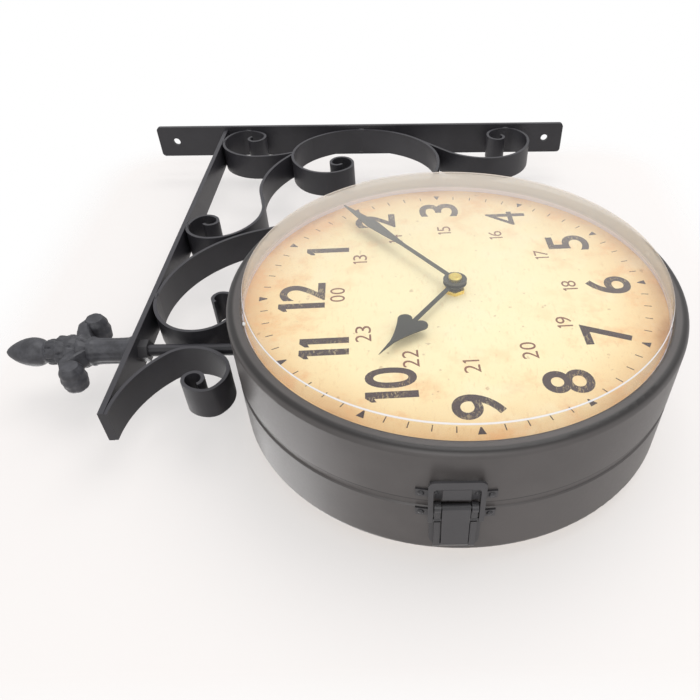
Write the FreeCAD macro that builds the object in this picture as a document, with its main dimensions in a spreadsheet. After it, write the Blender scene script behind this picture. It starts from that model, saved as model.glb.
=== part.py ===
import FreeCAD
import Part
import Sketcher
import math
import os
from FreeCAD import Placement, Rotation, Vector

# Double sided wall clock on a scrolled strip-iron bracket.  Millimetres, +Z up.
# Origin: the back face of the wall strip, midway between its two screw holes.
# +X points into the wall and the bracket reaches out along -X.  The two dials face
# -Y (the door side) and +Y (the fixed side), and the bracket strips are centred on y = 0.

doc = FreeCAD.newDocument("station_clock")
sheet = doc.addObject("Spreadsheet::Sheet", "Sizes")

SIZES = [
    # wall strip and arm
    ("wall_strip_length", 350.0), ("wall_strip_width", 25.0), ("wall_strip_thick", 3.0),
    ("wall_corner_radius", 3.0), ("screw_edge", 15.0), ("screw_hole_radius", 3.0),
    ("arm_height", 114.0), ("arm_width", 19.5), ("arm_thick", 3.0), ("arm_overhang", 59.4),
    # clock position: gaps left between the case and the bracket
    ("wall_gap", 163.5), ("hanger_gap", 58.2), ("seam_set", 12.4),
    # scroll strip, and the small inner curl that every scroll ends in
    ("scroll_width", 19.0), ("scroll_thick", 2.0),
    ("curl_run", 9.1), ("curl_rise", 8.0), ("curl_tail_run", 5.1), ("curl_tail_rise", 5.4),
    ("eye_radius", 4.4), ("eye_turn", 60.0),
    # scroll stations: how far out from the wall strip, how low under the arm
    ("main_eye_out", 62.2), ("main_eye_low", 93.0), ("main_back_out", 53.6), ("main_back_low", 101.1),
    ("main_lap_out", 65.2), ("main_lap_low", 110.7), ("main_front_out", 80.9), ("main_front_low", 91.0),
    ("crown_out", 47.0), ("crown_low", 61.2), ("main_touch_low", 114.3),
    ("main_foot_out", 60.2), ("main_foot_low", 178.5), ("main_slope", 68.0),
    ("main_top_out", 239.2), ("main_bow_rod_gap", 0.9), ("main_bow_low", 29.3),
    ("main_case_gap", 5.6), ("main_low_out", 250.4), ("main_turn_out", 236.9), ("main_turn_low", 40.2),
    ("corner_root_gap", 3.0), ("corner_bow_out", 50.6), ("corner_bow_low", 32.4),
    ("corner_arm_out", 21.2), ("corner_wall_low", 17.2), ("corner_lap_out", 13.1), ("corner_lap_low", 33.9),
    ("branch_out", 99.6), ("branch_low", 43.5), ("branch_dip_out", 138.1), ("branch_dip_low", 50.0),
    ("branch_bow_out", 174.2), ("branch_bow_low", 18.6), ("branch_arm_out", 158.3),
    ("branch_turn_out", 144.1), ("branch_turn_low", 11.6),
    ("lower_bow_out", 58.2), ("lower_bow_low", 219.5), ("lower_end_out", 21.7), ("lower_end_low", 255.4),
    ("lower_wall_low", 238.7), ("lower_lap_out", 14.6), ("lower_lap_low", 222.5),
    ("outer_top_reach", 8.8), ("outer_top_low", 32.3), ("outer_side_reach", 29.0),
    ("outer_case_gap", 4.6), ("outer_foot_reach", 43.2), ("outer_foot_low", 45.5),
    ("outer_turn_reach", 34.1), ("outer_turn_low", 33.4),
    # hanger rod, its nuts and the finial
    ("rod_radius", 3.5), ("rod_thread_radius", 2.5), ("rod_in_finial", 14.0), ("rod_tail", 9.0),
    ("arm_nut_flats", 11.0), ("arm_nut_thick", 5.0), ("shell_nut_flats", 8.0), ("shell_nut_thick", 4.0),
    ("washer_radius", 5.0), ("washer_thick", 1.0),
    ("finial_stem_radius", 7.3), ("finial_stem_length", 25.0), ("finial_body_radius", 9.8),
    ("finial_body_length", 28.0), ("finial_neck_radius", 6.8), ("finial_bud_radius", 7.7),
    ("finial_bud_length", 20.0), ("finial_leaf_reach", 22.2), ("finial_leaf_radius", 6.3),
    ("finial_leaf_width", 10.0),
    # case: the door's half and the fixed half
    ("case_radius", 118.5), ("door_depth", 32.2), ("case_depth", 37.4), ("case_sheet", 1.0),
    ("shoulder_radius", 3.5), ("bezel_width", 8.0), ("lip_radius", 1.5), ("seam_gap", 0.3),
    ("band_depth", 4.0), ("band_step", 0.8),
    # lens, spacer ring, dial and the ring that carries the dial
    ("lens_stand", 8.3), ("lens_sheet", 1.2), ("lens_play", 0.5), ("lens_edge_radius", 1.5),
    ("lens_draft", 0.7), ("flange_width", 3.0), ("flange_thick", 1.0),
    ("dial_set", 5.8), ("dial_thick", 1.0), ("carrier_thick", 0.8), ("carrier_width", 14.0),
    ("carrier_depth", 4.0),
    # movement and hands
    ("movement_side", 56.0), ("movement_thick", 15.0), ("movement_corner", 4.0),
    ("battery_radius", 7.0), ("battery_length", 49.0), ("battery_nub_radius", 2.7),
    ("battery_nub_length", 1.5), ("bay_play", 0.25), ("bay_edge", 1.5),
    ("bush_radius", 3.9), ("bush_length", 3.2), ("bush_nut_flats", 9.7), ("bush_nut_thick", 2.2),
    ("hour_tube_radius", 2.7), ("hour_tube_length", 5.6), ("minute_shaft_radius", 1.6),
    ("minute_shaft_length", 8.2), ("running_fit", 0.05), ("bore_depth", 4.0),
    ("hand_sheet", 0.5), ("hub_radius", 6.2), ("hand_gap", 1.4),
    ("minute_hand_length", 101.0), ("minute_leaf_at", 72.0), ("minute_leaf_start", 44.0),
    ("minute_leaf_width", 7.4), ("hand_stem_width", 2.4),
    ("hour_hand_length", 69.0), ("spade_at", 44.0), ("spade_width", 15.0), ("spade_length", 14.0),
    ("cap_nut_radius", 3.5), ("cap_nut_height", 2.2), ("shown_hour", 10.0), ("shown_minute", 8.63),
    ("knob_radius", 5.0), ("knob_height", 2.6), ("knob_stem_radius", 1.5), ("knob_stem_length", 3.0),
    ("knob_out", 15.0), ("knob_up", 8.0),
    # hinge at three o'clock
    ("hinge_length", 30.0), ("barrel_radius", 2.4), ("barrel_out", 2.8), ("hinge_pin_radius", 1.25),
    ("leaf_width", 12.0), ("leaf_start", 3.0), ("leaf_thick", 1.2), ("knuckle_play", 0.3),
    # latch at nine o'clock; heights are above the case at the latch
    ("latch_rise", 5.7), ("latch_sheet", 0.9), ("latch_half_width", 11.4), ("ear_half_width", 17.5),
    ("catch_start", 4.0), ("catch_end", 14.0), ("hook_end", 12.2), ("hook_height", 2.3),
    ("hook_half_width", 6.1), ("ear_depth", 4.5), ("ear_set", 4.4), ("base_end", 32.0), ("base_corner", 7.0),
    ("cheek_inner", 6.6), ("cheek_outer", 9.4), ("cheek_height", 3.2),
    ("ear_radius", 2.4), ("pivot_set", 1.2), ("pivot_height", 2.8), ("pivot_radius", 0.8),
    ("link_set", 8.0), ("link_height", 2.5), ("link_radius", 0.8), ("link_boss", 1.4),
    ("lever_half_width", 6.1), ("lever_sheet", 1.1), ("lever_height", 4.0), ("lever_end", 24.5),
    ("lever_step", 7.0), ("lever_drop", 0.7), ("knuckle_radius", 1.6), ("slot_play", 0.5),
    ("loop_half_width", 12.2), ("loop_side", 2.2), ("loop_bar_start", 14.5), ("loop_bar_end", 19.0),
    ("loop_height", 2.7), ("loop_sheet", 1.2), ("loop_corner", 3.0), ("loop_eye", 1.3),
]

for row, (alias, value) in enumerate(SIZES, start=1):
    sheet.set("A%d" % row, alias)
    sheet.set("B%d" % row, repr(value))
    sheet.setAlias("B%d" % row, alias)
doc.recompute()


class Sizes:
    """Reads a size from the sheet, for the curves that a sketch cannot be bound to."""

    def __getattr__(self, alias):
        return float(sheet.get(alias))


S = Sizes()

# Expressions for the places that many pieces share.
CLOCK_X = "-(Sizes.wall_gap + Sizes.case_radius)"
CLOCK_Z = "Sizes.arm_height - Sizes.hanger_gap - Sizes.case_radius"
SEAM_Y = "-Sizes.seam_set"
ARM_TOP = "Sizes.arm_height + Sizes.arm_thick"
RADIUS_IN = "(Sizes.case_radius - Sizes.case_sheet)"

clock_x = -(S.wall_gap + S.case_radius)
clock_z = S.arm_height - S.hanger_gap - S.case_radius

FRONT = Rotation()
BACK = Rotation(Vector(0, 0, 1), 180)


def place(obj, x="0", y="0", z="0", turn=FRONT):
    """Turns an object and binds its base point to three expressions."""
    obj.Placement = Placement(Vector(), turn)
    for axis, text in (("x", x), ("y", y), ("z", z)):
        obj.setExpression("Placement.Base." + axis, text)
    return obj


def bind(obj, **texts):
    """Binds properties of an object to expressions."""
    for name, text in texts.items():
        obj.setExpression(name, text)
    return obj


def body(label, x="0", y="0", z="0", turn=FRONT):
    """Adds a PartDesign body at a bound place."""
    made = doc.addObject("PartDesign::Body", label)
    made.Label = label
    return place(made, x, y, z, turn)


def sketch_on(owner, role, lift=None):
    """Adds a sketch on an origin plane of its body, lifted off it by an expression."""
    drawn = owner.newObject("Sketcher::SketchObject", owner.Name + "_sketch")
    plane = [item for item in owner.Origin.OriginFeatures if item.Role == role][0]
    drawn.AttachmentSupport = [(plane, "")]
    drawn.MapMode = "FlatFace"
    if lift:
        drawn.setExpression("AttachmentOffset.Base.z", lift)
    return drawn


def fix_point(drawn, index, end, x, y):
    """Binds one point of a sketch to two expressions."""
    for kind, text in (("DistanceX", x), ("DistanceY", y)):
        number = drawn.addConstraint(Sketcher.Constraint(kind, -1, 1, index, end, 0.0))
        drawn.setExpression("Constraints[%d]" % number, text)


def polygon(drawn, points):
    """Draws a closed polygon whose corners are pairs of expressions."""
    first = drawn.GeometryCount
    count = len(points)
    values = [tuple(float(drawn.evalExpression(text)) for text in pair) for pair in points]
    for index in range(count):
        start, end = values[index], values[(index + 1) % count]
        drawn.addGeometry(Part.LineSegment(Vector(*start), Vector(*end)))
    for index in range(count):
        drawn.addConstraint(Sketcher.Constraint(
            "Coincident", first + index, 2, first + (index + 1) % count, 1))
    for index, (x, y) in enumerate(points):
        fix_point(drawn, first + index, 1, x, y)


def circle(drawn, x, y, radius):
    """Draws a circle whose centre and radius are expressions."""
    centre = [float(drawn.evalExpression(text)) for text in (x, y)]
    size = float(drawn.evalExpression(radius))
    index = drawn.addGeometry(Part.Circle(Vector(*centre), Vector(0, 0, 1), size))
    fix_point(drawn, index, 3, x, y)
    number = drawn.addConstraint(Sketcher.Constraint("Radius", index, size))
    drawn.setExpression("Constraints[%d]" % number, radius)


def chain(drawn, start, steps):
    """Draws a closed outline of lines (x, y) and arcs ((mid x, mid y), (x, y))."""
    here = Vector(*start)
    for step in steps:
        if isinstance(step[0], tuple):
            middle, end = Vector(*step[0]), Vector(*step[1])
            drawn.addGeometry(Part.Arc(here, middle, end))
        else:
            end = Vector(*step)
            drawn.addGeometry(Part.LineSegment(here, end))
        here = end


def pad(owner, drawn, length, midplane=False, reverse=False):
    """Pads a sketch by an expression."""
    made = owner.newObject("PartDesign::Pad", owner.Name + "_pad")
    made.Profile = drawn
    made.Midplane = midplane
    made.Reversed = reverse
    made.setExpression("Length", length)
    owner.Tip = made
    return made


def pocket(owner, drawn, length, midplane=False, reverse=False):
    """Pockets a sketch, and checks that it took material away."""
    doc.recompute()
    before = owner.Shape.Volume
    made = owner.newObject("PartDesign::Pocket", owner.Name + "_pocket")
    made.Profile = drawn
    made.Midplane = midplane
    made.Reversed = reverse
    made.setExpression("Length", length)
    owner.Tip = made
    doc.recompute()
    if owner.Shape.Volume > before - 1e-6:
        raise RuntimeError("%s: the pocket cuts nothing" % owner.Label)
    return made


def round_edges(owner, along, radius):
    """Fillets every straight edge of a body's tip that runs along a direction."""
    doc.recompute()
    base = owner.Tip
    names = ["Edge%d" % number for number, edge in enumerate(base.Shape.Edges, start=1)
             if abs(edge.tangentAt(edge.FirstParameter).dot(along)) > 0.99]
    made = owner.newObject("PartDesign::Fillet", owner.Name + "_fillet")
    made.Base = (base, names)
    made.setExpression("Radius", radius)
    owner.Tip = made
    return made


def revolve(owner, drawn, axis="V_Axis"):
    """Revolves a sketch once round one of its own axes."""
    made = owner.newObject("PartDesign::Revolution", owner.Name + "_revolution")
    made.Profile = drawn
    made.ReferenceAxis = (drawn, [axis])
    made.Angle = 360.0
    owner.Tip = made
    return made


def turned(label, points, role="XY_Plane", **where):
    """A body revolved from a polygon of expressions: radius along the sketch's X."""
    owner = body(label, **where)
    drawn = sketch_on(owner, role)
    polygon(drawn, points)
    revolve(owner, drawn)
    return owner


def boolean(kind, label, base, *tools):
    """Cuts, fuses or keeps what is common to earlier objects."""
    if kind == "Fuse":
        made = doc.addObject("Part::MultiFuse", label)
        made.Shapes = [base] + list(tools)
        made.Refine = True
    else:
        made = doc.addObject("Part::" + kind, label)
        made.Base = base
        made.Tool = tools[0]
    made.Label = label
    return made


def box(name, length, width, height, x, y, z):
    """A Part box bound to expressions."""
    made = bind(doc.addObject("Part::Box", name), Length=length, Width=width, Height=height)
    return place(made, x, y, z)


def drum(name, radius, height, x, y, z, turn=FRONT):
    """A Part cylinder bound to expressions, standing on its base point."""
    made = bind(doc.addObject("Part::Cylinder", name), Radius=radius, Height=height)
    return place(made, x, y, z, turn)


class Strip:
    """Centreline of one bent flat strip: tangent arcs and straight runs in the XZ plane.

    Stations are given as (out from the wall strip, low under the arm).
    """

    def __init__(self, out, low, heading):
        self.at = self.point(out, low)
        self.heading = math.atan2(heading.y, heading.x)
        self.runs = []

    @staticmethod
    def point(out, low):
        return Vector(-S.wall_strip_thick - out, S.arm_height - low)

    def ahead(self):
        return Vector(math.cos(self.heading), math.sin(self.heading))

    def left(self):
        return Vector(-math.sin(self.heading), math.cos(self.heading))

    def line(self, length):
        """Runs straight on."""
        end = self.at + self.ahead() * length
        self.runs.append(("line", self.at, end, self.left()))
        self.at = end
        return self

    def arc(self, radius, turn):
        """Bends through a signed turn in radians, to the left where it is positive."""
        side = 1.0 if turn > 0 else -1.0
        centre = self.at + self.left() * (side * radius)
        start = math.atan2(self.at.y - centre.y, self.at.x - centre.x)
        self.runs.append(("arc", centre, radius, start, turn))
        self.heading += turn
        angle = start + turn
        self.at = centre + Vector(math.cos(angle), math.sin(angle)) * radius
        return self

    def offset_to(self, out, low):
        """How far the station lies ahead, how far aside, and on which side."""
        gap = self.point(out, low) - self.at
        aside = gap.dot(self.left())
        return gap.dot(self.ahead()), abs(aside), (1.0 if aside > 0 else -1.0)

    def quarter(self, out, low):
        """A quarter turn to a station, as two tangent arcs of an eighth turn each."""
        run, rise, side = self.offset_to(out, low)
        sine = math.sin(math.pi / 4)
        first = (run * sine - rise * (1 - sine)) / (2 * sine - 1)
        second = (rise * sine - run * (1 - sine)) / (2 * sine - 1)
        return self.arc(first, side * math.pi / 4).arc(second, side * math.pi / 4)

    def bow(self, out, low, turn):
        """A straight run, then one arc of the given turn that ends at the station."""
        run, rise, side = self.offset_to(out, low)
        sine, cosine = math.sin(turn), math.cos(turn)
        # seen from the arc's end heading, which is the start heading plus the turn
        along = run * cosine + rise * sine
        aside = run * sine - rise * cosine
        radius = (along * sine - aside * cosine) / (1 - cosine)
        return self.line((aside - radius * (1 - cosine)) / sine).arc(radius, side * turn)

    def swing(self, out, low, slope=None):
        """An S to a station that is met on the same heading, with a straight at a slope."""
        run, rise, side = self.offset_to(out, low)
        if slope is None:
            slope = 2 * math.atan2(rise, run)
            return self.arc((run ** 2 + rise ** 2) / (4 * rise), side * slope).arc(
                (run ** 2 + rise ** 2) / (4 * rise), -side * slope)
        sine, cosine = math.sin(slope), math.cos(slope)
        radius = (run * sine - rise * cosine) / (2 * (1 - cosine))
        length = (rise * sine - run * (1 - cosine)) / (1 - cosine)
        return self.arc(radius, side * slope).line(length).arc(radius, -side * slope)

    def step(self, run, rise, side):
        """A quarter turn given by how far it runs on and how far it moves aside."""
        target = self.at + self.ahead() * run + self.left() * (side * rise)
        return self.quarter(-S.wall_strip_thick - target.x, S.arm_height - target.y)

    def tail(self, side):
        """The last quarter turn and the eye."""
        self.step(S.curl_tail_run, S.curl_tail_rise, side)
        return self.arc(S.eye_radius, side * math.radians(S.eye_turn))

    def curl(self, side):
        """The inner curl that most of the scrolls end in."""
        return self.step(S.curl_run, S.curl_rise, side).tail(side)

    @classmethod
    def from_eye(cls, out, low, heading, side):
        """A strip that starts with its eye and reaches the station on the heading."""
        made = cls(out, low, heading)
        turn = side * math.radians(S.eye_turn)
        centre = made.at + made.left() * (side * S.eye_radius)
        spoke = made.at - centre
        made.at = centre + Vector(
            spoke.x * math.cos(turn) + spoke.y * math.sin(turn),
            spoke.y * math.cos(turn) - spoke.x * math.sin(turn))
        made.heading -= turn
        return made.arc(S.eye_radius, turn)

    @classmethod
    def from_root(cls, root_out, root_low, out, low, heading):
        """A strip that starts with one arc from its root to a station on a heading."""
        made = cls(root_out, root_low, heading)
        run, rise, side = made.offset_to(out, low)
        turn = 2 * math.atan2(rise, run)
        made.heading += side * turn
        return made.arc((run ** 2 + rise ** 2) / (2 * rise), -side * turn)

    def draw(self, drawn):
        """Draws the strip's edge outline: both offsets of the centreline, and its ends."""
        half = S.scroll_thick / 2
        ends = []
        for side in (1.0, -1.0):
            first = last = None
            for run in self.runs:
                if run[0] == "line":
                    shift = run[3] * (side * half)
                    start, end = run[1] + shift, run[2] + shift
                    drawn.addGeometry(Part.LineSegment(start, end))
                else:
                    centre, radius, angle, turn = run[1:]
                    reach = radius - side * half * (1.0 if turn > 0 else -1.0)
                    start, middle, end = [
                        centre + Vector(math.cos(a), math.sin(a)) * reach
                        for a in (angle, angle + turn / 2, angle + turn)]
                    drawn.addGeometry(Part.Arc(start, middle, end))
                first = first or start
                last = end
            ends.append((first, last))
        drawn.addGeometry(Part.LineSegment(ends[0][0], ends[1][0]))
        drawn.addGeometry(Part.LineSegment(ends[0][1], ends[1][1]))


UP, DOWN, OUT, IN = Vector(0, 1), Vector(0, -1), Vector(-1, 0), Vector(1, 0)
LEFT, RIGHT = 1, -1


def scroll(label, strip):
    """A scroll body: the strip's outline padded to the strip's width about y = 0."""
    owner = body(label)
    drawn = sketch_on(owner, "XZ_Plane")
    strip.draw(drawn)
    pad(owner, drawn, "Sizes.scroll_width", midplane=True)
    return owner


# ---------------------------------------------------------------- wall strip and arm
wall_strip = body("wall_strip")
drawn = sketch_on(wall_strip, "YZ_Plane")
polygon(drawn, [("%s Sizes.wall_strip_width / 2" % a, "%s Sizes.wall_strip_length / 2" % b)
                for a, b in (("-", "-"), ("", "-"), ("", ""), ("-", ""))])
pad(wall_strip, drawn, "Sizes.wall_strip_thick", reverse=True)
round_edges(wall_strip, Vector(1, 0, 0), "Sizes.wall_corner_radius")
holes = sketch_on(wall_strip, "YZ_Plane")
for sign in ("", "-"):
    circle(holes, "0", sign + "(Sizes.wall_strip_length / 2 - Sizes.screw_edge)", "Sizes.screw_hole_radius")
pocket(wall_strip, holes, "Sizes.wall_strip_thick")

bracket_arm = body("bracket_arm", z="Sizes.arm_height")
drawn = sketch_on(bracket_arm, "XY_Plane")
polygon(drawn, [(x, y + "Sizes.arm_width / 2") for x, y in (
    (CLOCK_X + " - Sizes.arm_overhang", "-"), ("-Sizes.wall_strip_thick", "-"),
    ("-Sizes.wall_strip_thick", ""), (CLOCK_X + " - Sizes.arm_overhang", ""))])
pad(bracket_arm, drawn, "Sizes.arm_thick")
holes = sketch_on(bracket_arm, "XY_Plane")
circle(holes, CLOCK_X, "0", "Sizes.rod_radius")
pocket(bracket_arm, holes, "Sizes.arm_thick", reverse=True)

# ------------------------------------------------------------------------- scrolls
half_strip = S.scroll_thick / 2
rod_out = S.wall_gap + S.case_radius - S.wall_strip_thick

main_line = Strip.from_eye(
    S.main_eye_out + S.curl_tail_rise, S.main_eye_low + S.curl_tail_run, UP, RIGHT)
main_line.quarter(S.main_eye_out, S.main_eye_low)
main_line.quarter(S.main_back_out, S.main_back_low)
main_line.quarter(S.main_lap_out, S.main_lap_low)
main_line.quarter(S.main_front_out, S.main_front_low)
main_line.quarter(S.crown_out, S.crown_low)
main_line.quarter(half_strip, S.main_touch_low)
wall_touch = len(main_line.runs)
main_line.quarter(S.main_foot_out, S.main_foot_low)
main_line.swing(S.main_top_out, half_strip, math.radians(S.main_slope))
main_line.quarter(rod_out - S.rod_radius - S.main_bow_rod_gap - half_strip, S.main_bow_low)
main_line.quarter(S.main_low_out, S.hanger_gap - S.main_case_gap - half_strip)
main_line.quarter(S.main_turn_out, S.main_turn_low)
main_line.tail(LEFT)
main_scroll = scroll("main_scroll", main_line)

corner_line = Strip.from_root(
    S.crown_out - S.corner_root_gap, S.crown_low, S.corner_bow_out, S.corner_bow_low, UP)
corner_line.quarter(S.corner_arm_out, half_strip)
corner_line.quarter(half_strip, S.corner_wall_low)
corner_line.quarter(S.corner_lap_out, S.corner_lap_low)
corner_line.curl(RIGHT)
corner_scroll = boolean("Cut", "corner_scroll", scroll("corner_strip", corner_line), main_scroll)

branch_line = Strip.from_root(S.crown_out, S.crown_low, S.branch_out, S.branch_low, OUT)
branch_line.swing(S.branch_dip_out, S.branch_dip_low)
branch_line.quarter(S.branch_bow_out, S.branch_bow_low)
branch_line.quarter(S.branch_arm_out, half_strip)
branch_line.quarter(S.branch_turn_out, S.branch_turn_low)
branch_line.curl(RIGHT)
branch_scroll = boolean("Cut", "branch_scroll", scroll("branch_strip", branch_line), main_scroll)

# The lower scroll leaves the main loop on the tangent, an eighth turn past the wall strip.
kind, centre, radius, angle, turn = main_line.runs[wall_touch]
angle += turn
lower_line = Strip(0.0, 0.0, DOWN + OUT)
lower_line.at = centre + Vector(math.cos(angle), math.sin(angle)) * radius
lower_line.bow(S.lower_bow_out, S.lower_bow_low, math.radians(45.0))
lower_line.quarter(S.lower_end_out, S.lower_end_low)
lower_line.quarter(half_strip, S.lower_wall_low)
lower_line.quarter(S.lower_lap_out, S.lower_lap_low)
lower_line.curl(LEFT)
lower_scroll = boolean("Cut", "lower_scroll", scroll("lower_strip", lower_line), main_scroll)

# The outer scroll passes just clear of the case.
outer_line = Strip(rod_out + S.arm_overhang, half_strip, IN)
outer_line.quarter(rod_out + S.outer_top_reach, S.outer_top_low)
case_pass = math.sqrt(
    (S.case_radius + S.outer_case_gap + half_strip) ** 2 - S.outer_side_reach ** 2)
outer_line.quarter(rod_out + S.outer_side_reach, S.hanger_gap + S.case_radius - case_pass)
outer_line.quarter(rod_out + S.outer_foot_reach, S.outer_foot_low)
outer_line.quarter(rod_out + S.outer_turn_reach, S.outer_turn_low)
outer_line.step(S.curl_tail_run, S.curl_tail_rise, RIGHT)
outer_line.tail(RIGHT)
outer_scroll = scroll("outer_scroll", outer_line)

# --------------------------------------------------------- rod, nuts and finial
CASE_TOP = CLOCK_Z + " + Sizes.case_radius"
WASHER_TOP = CLOCK_Z + " + sqrt(%s ^ 2 - Sizes.washer_radius ^ 2)" % RADIUS_IN

hanger_rod = turned("hanger_rod", [
    ("0", CASE_TOP + " - Sizes.rod_tail"),
    ("Sizes.rod_thread_radius", CASE_TOP + " - Sizes.rod_tail"),
    ("Sizes.rod_thread_radius", CASE_TOP),
    ("Sizes.rod_radius", CASE_TOP),
    ("Sizes.rod_radius", ARM_TOP + " + Sizes.rod_in_finial"),
    ("0", ARM_TOP + " + Sizes.rod_in_finial"),
], role="XZ_Plane", x=CLOCK_X)


def hex_nut(label, flats, thick, bore, x, y, z, turn=FRONT):
    """A hexagonal nut standing on its base point, with its bore."""
    owner = body(label, x, y, z, turn)
    drawn = sketch_on(owner, "XY_Plane")
    reach = "(%s / sqrt(3))" % flats
    polygon(drawn, [("%s * cos(%d)" % (reach, a), "%s * sin(%d)" % (reach, a))
                    for a in range(0, 360, 60)])
    pad(owner, drawn, thick)
    hole = sketch_on(owner, "XY_Plane")
    circle(hole, "0", "0", bore)
    pocket(owner, hole, thick, reverse=True)
    return owner


arm_nut = hex_nut("arm_nut", "Sizes.arm_nut_flats", "Sizes.arm_nut_thick", "Sizes.rod_radius",
                  CLOCK_X, "0", "Sizes.arm_height - Sizes.arm_nut_thick")
shell_nut = hex_nut("shell_nut", "Sizes.shell_nut_flats", "Sizes.shell_nut_thick",
                    "Sizes.rod_thread_radius", CLOCK_X, "0",
                    WASHER_TOP + " - Sizes.washer_thick - Sizes.shell_nut_thick")
shell_washer = turned("shell_washer", [
    ("Sizes.rod_thread_radius", "-Sizes.washer_thick"), ("Sizes.washer_radius", "-Sizes.washer_thick"),
    ("Sizes.washer_radius", "0"), ("Sizes.rod_thread_radius", "0"),
], role="XZ_Plane", x=CLOCK_X, z=WASHER_TOP)

finial = body("finial", x=CLOCK_X, z=ARM_TOP)
drawn = sketch_on(finial, "XZ_Plane")
stem, swell, bud = S.finial_stem_radius, S.finial_body_radius, S.finial_bud_radius
z_stem = S.finial_stem_length
z_neck = z_stem + S.finial_body_length
z_tip = z_neck + S.finial_bud_length
chain(drawn, (0.0, 0.0), [
    (stem, 0.0),
    ((stem + 0.5, z_stem * 0.1), (stem, z_stem * 0.2)),
    ((stem - 0.9, z_stem * 0.5), (stem, z_stem * 0.8)),
    ((stem + 0.9, z_stem * 0.9), (stem, z_stem)),
    ((swell, z_stem + S.finial_body_length * 0.5), (S.finial_neck_radius, z_neck)),
    ((bud, z_neck + S.finial_bud_length * 0.35), (bud * 0.55, z_neck + S.finial_bud_length * 0.8)),
    (0.0, z_tip), (0.0, 0.0),
])
revolve(finial, drawn)
knob_z = z_stem + 3.3
leaf, half_leaf = S.finial_leaf_radius, S.finial_leaf_width / 2
for sign in (1.0, -1.0):
    drawn = sketch_on(finial, "XZ_Plane")
    out = S.finial_leaf_reach
    chain(drawn, (sign * stem * 0.5, z_stem + 2.0), [
        (sign * stem * 0.5, z_stem + S.finial_body_length * 0.5),
        ((sign * out * 0.68, knob_z + leaf * 1.3), (sign * out, knob_z + leaf)),
        ((sign * (out + leaf), knob_z), (sign * out, knob_z - leaf)),
        ((sign * (out - leaf * 0.75), knob_z - leaf * 0.66), (sign * (out - leaf), knob_z)),
        (sign * stem * 0.5, z_stem + 2.0),
    ])
    pad(finial, drawn, "Sizes.finial_leaf_width", midplane=True)
hole = sketch_on(finial, "XY_Plane")
circle(hole, "0", "0", "Sizes.rod_radius")
pocket(finial, hole, "Sizes.rod_in_finial", reverse=True)


# ------------------------------------------------------------------ one side of the clock
def shell(label, side, turn):
    """One half of the case: a rolled sheet drum, open at the seam and at the dial."""
    radius, sheet_thick = S.case_radius, S.case_sheet
    depth = S.door_depth if side == "front" else S.case_depth
    shoulder, lip = S.shoulder_radius, S.lip_radius
    sine = math.sin(math.pi / 4)
    roll, mouth = radius - shoulder, radius - S.bezel_width
    turn_out, turn_in = shoulder - sheet_thick, lip - sheet_thick
    owner = body(label, CLOCK_X, SEAM_Y, CLOCK_Z, turn)
    drawn = sketch_on(owner, "XY_Plane")
    if side == "front":
        start = (radius, -S.seam_gap)
        steps = []
        inside = [(radius - sheet_thick, -S.seam_gap), start]
    else:
        step, band = S.band_step, S.band_depth
        start = (radius - step, 0.0)
        steps = [(radius - step, -band), (radius, -band - step)]
        inside = [(radius - sheet_thick, -band - step - sheet_thick / 2),
                  (radius - step - sheet_thick, -band - sheet_thick / 2),
                  (radius - step - sheet_thick, 0.0), start]
    steps += [
        (radius, shoulder - depth),
        ((roll + shoulder * sine, shoulder - depth - shoulder * sine), (roll, -depth)),
        (mouth + lip, -depth),
        ((mouth + lip - lip * sine, lip - depth - lip * sine), (mouth, lip - depth)),
        (mouth + sheet_thick, lip - depth),
        ((mouth + lip - turn_in * sine, lip - depth - turn_in * sine), (mouth + lip, sheet_thick - depth)),
        (roll, sheet_thick - depth),
        ((roll + turn_out * sine, shoulder - depth - turn_out * sine),
         (radius - sheet_thick, shoulder - depth)),
    ]
    chain(drawn, start, steps + inside)
    revolve(owner, drawn)
    return owner


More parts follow.
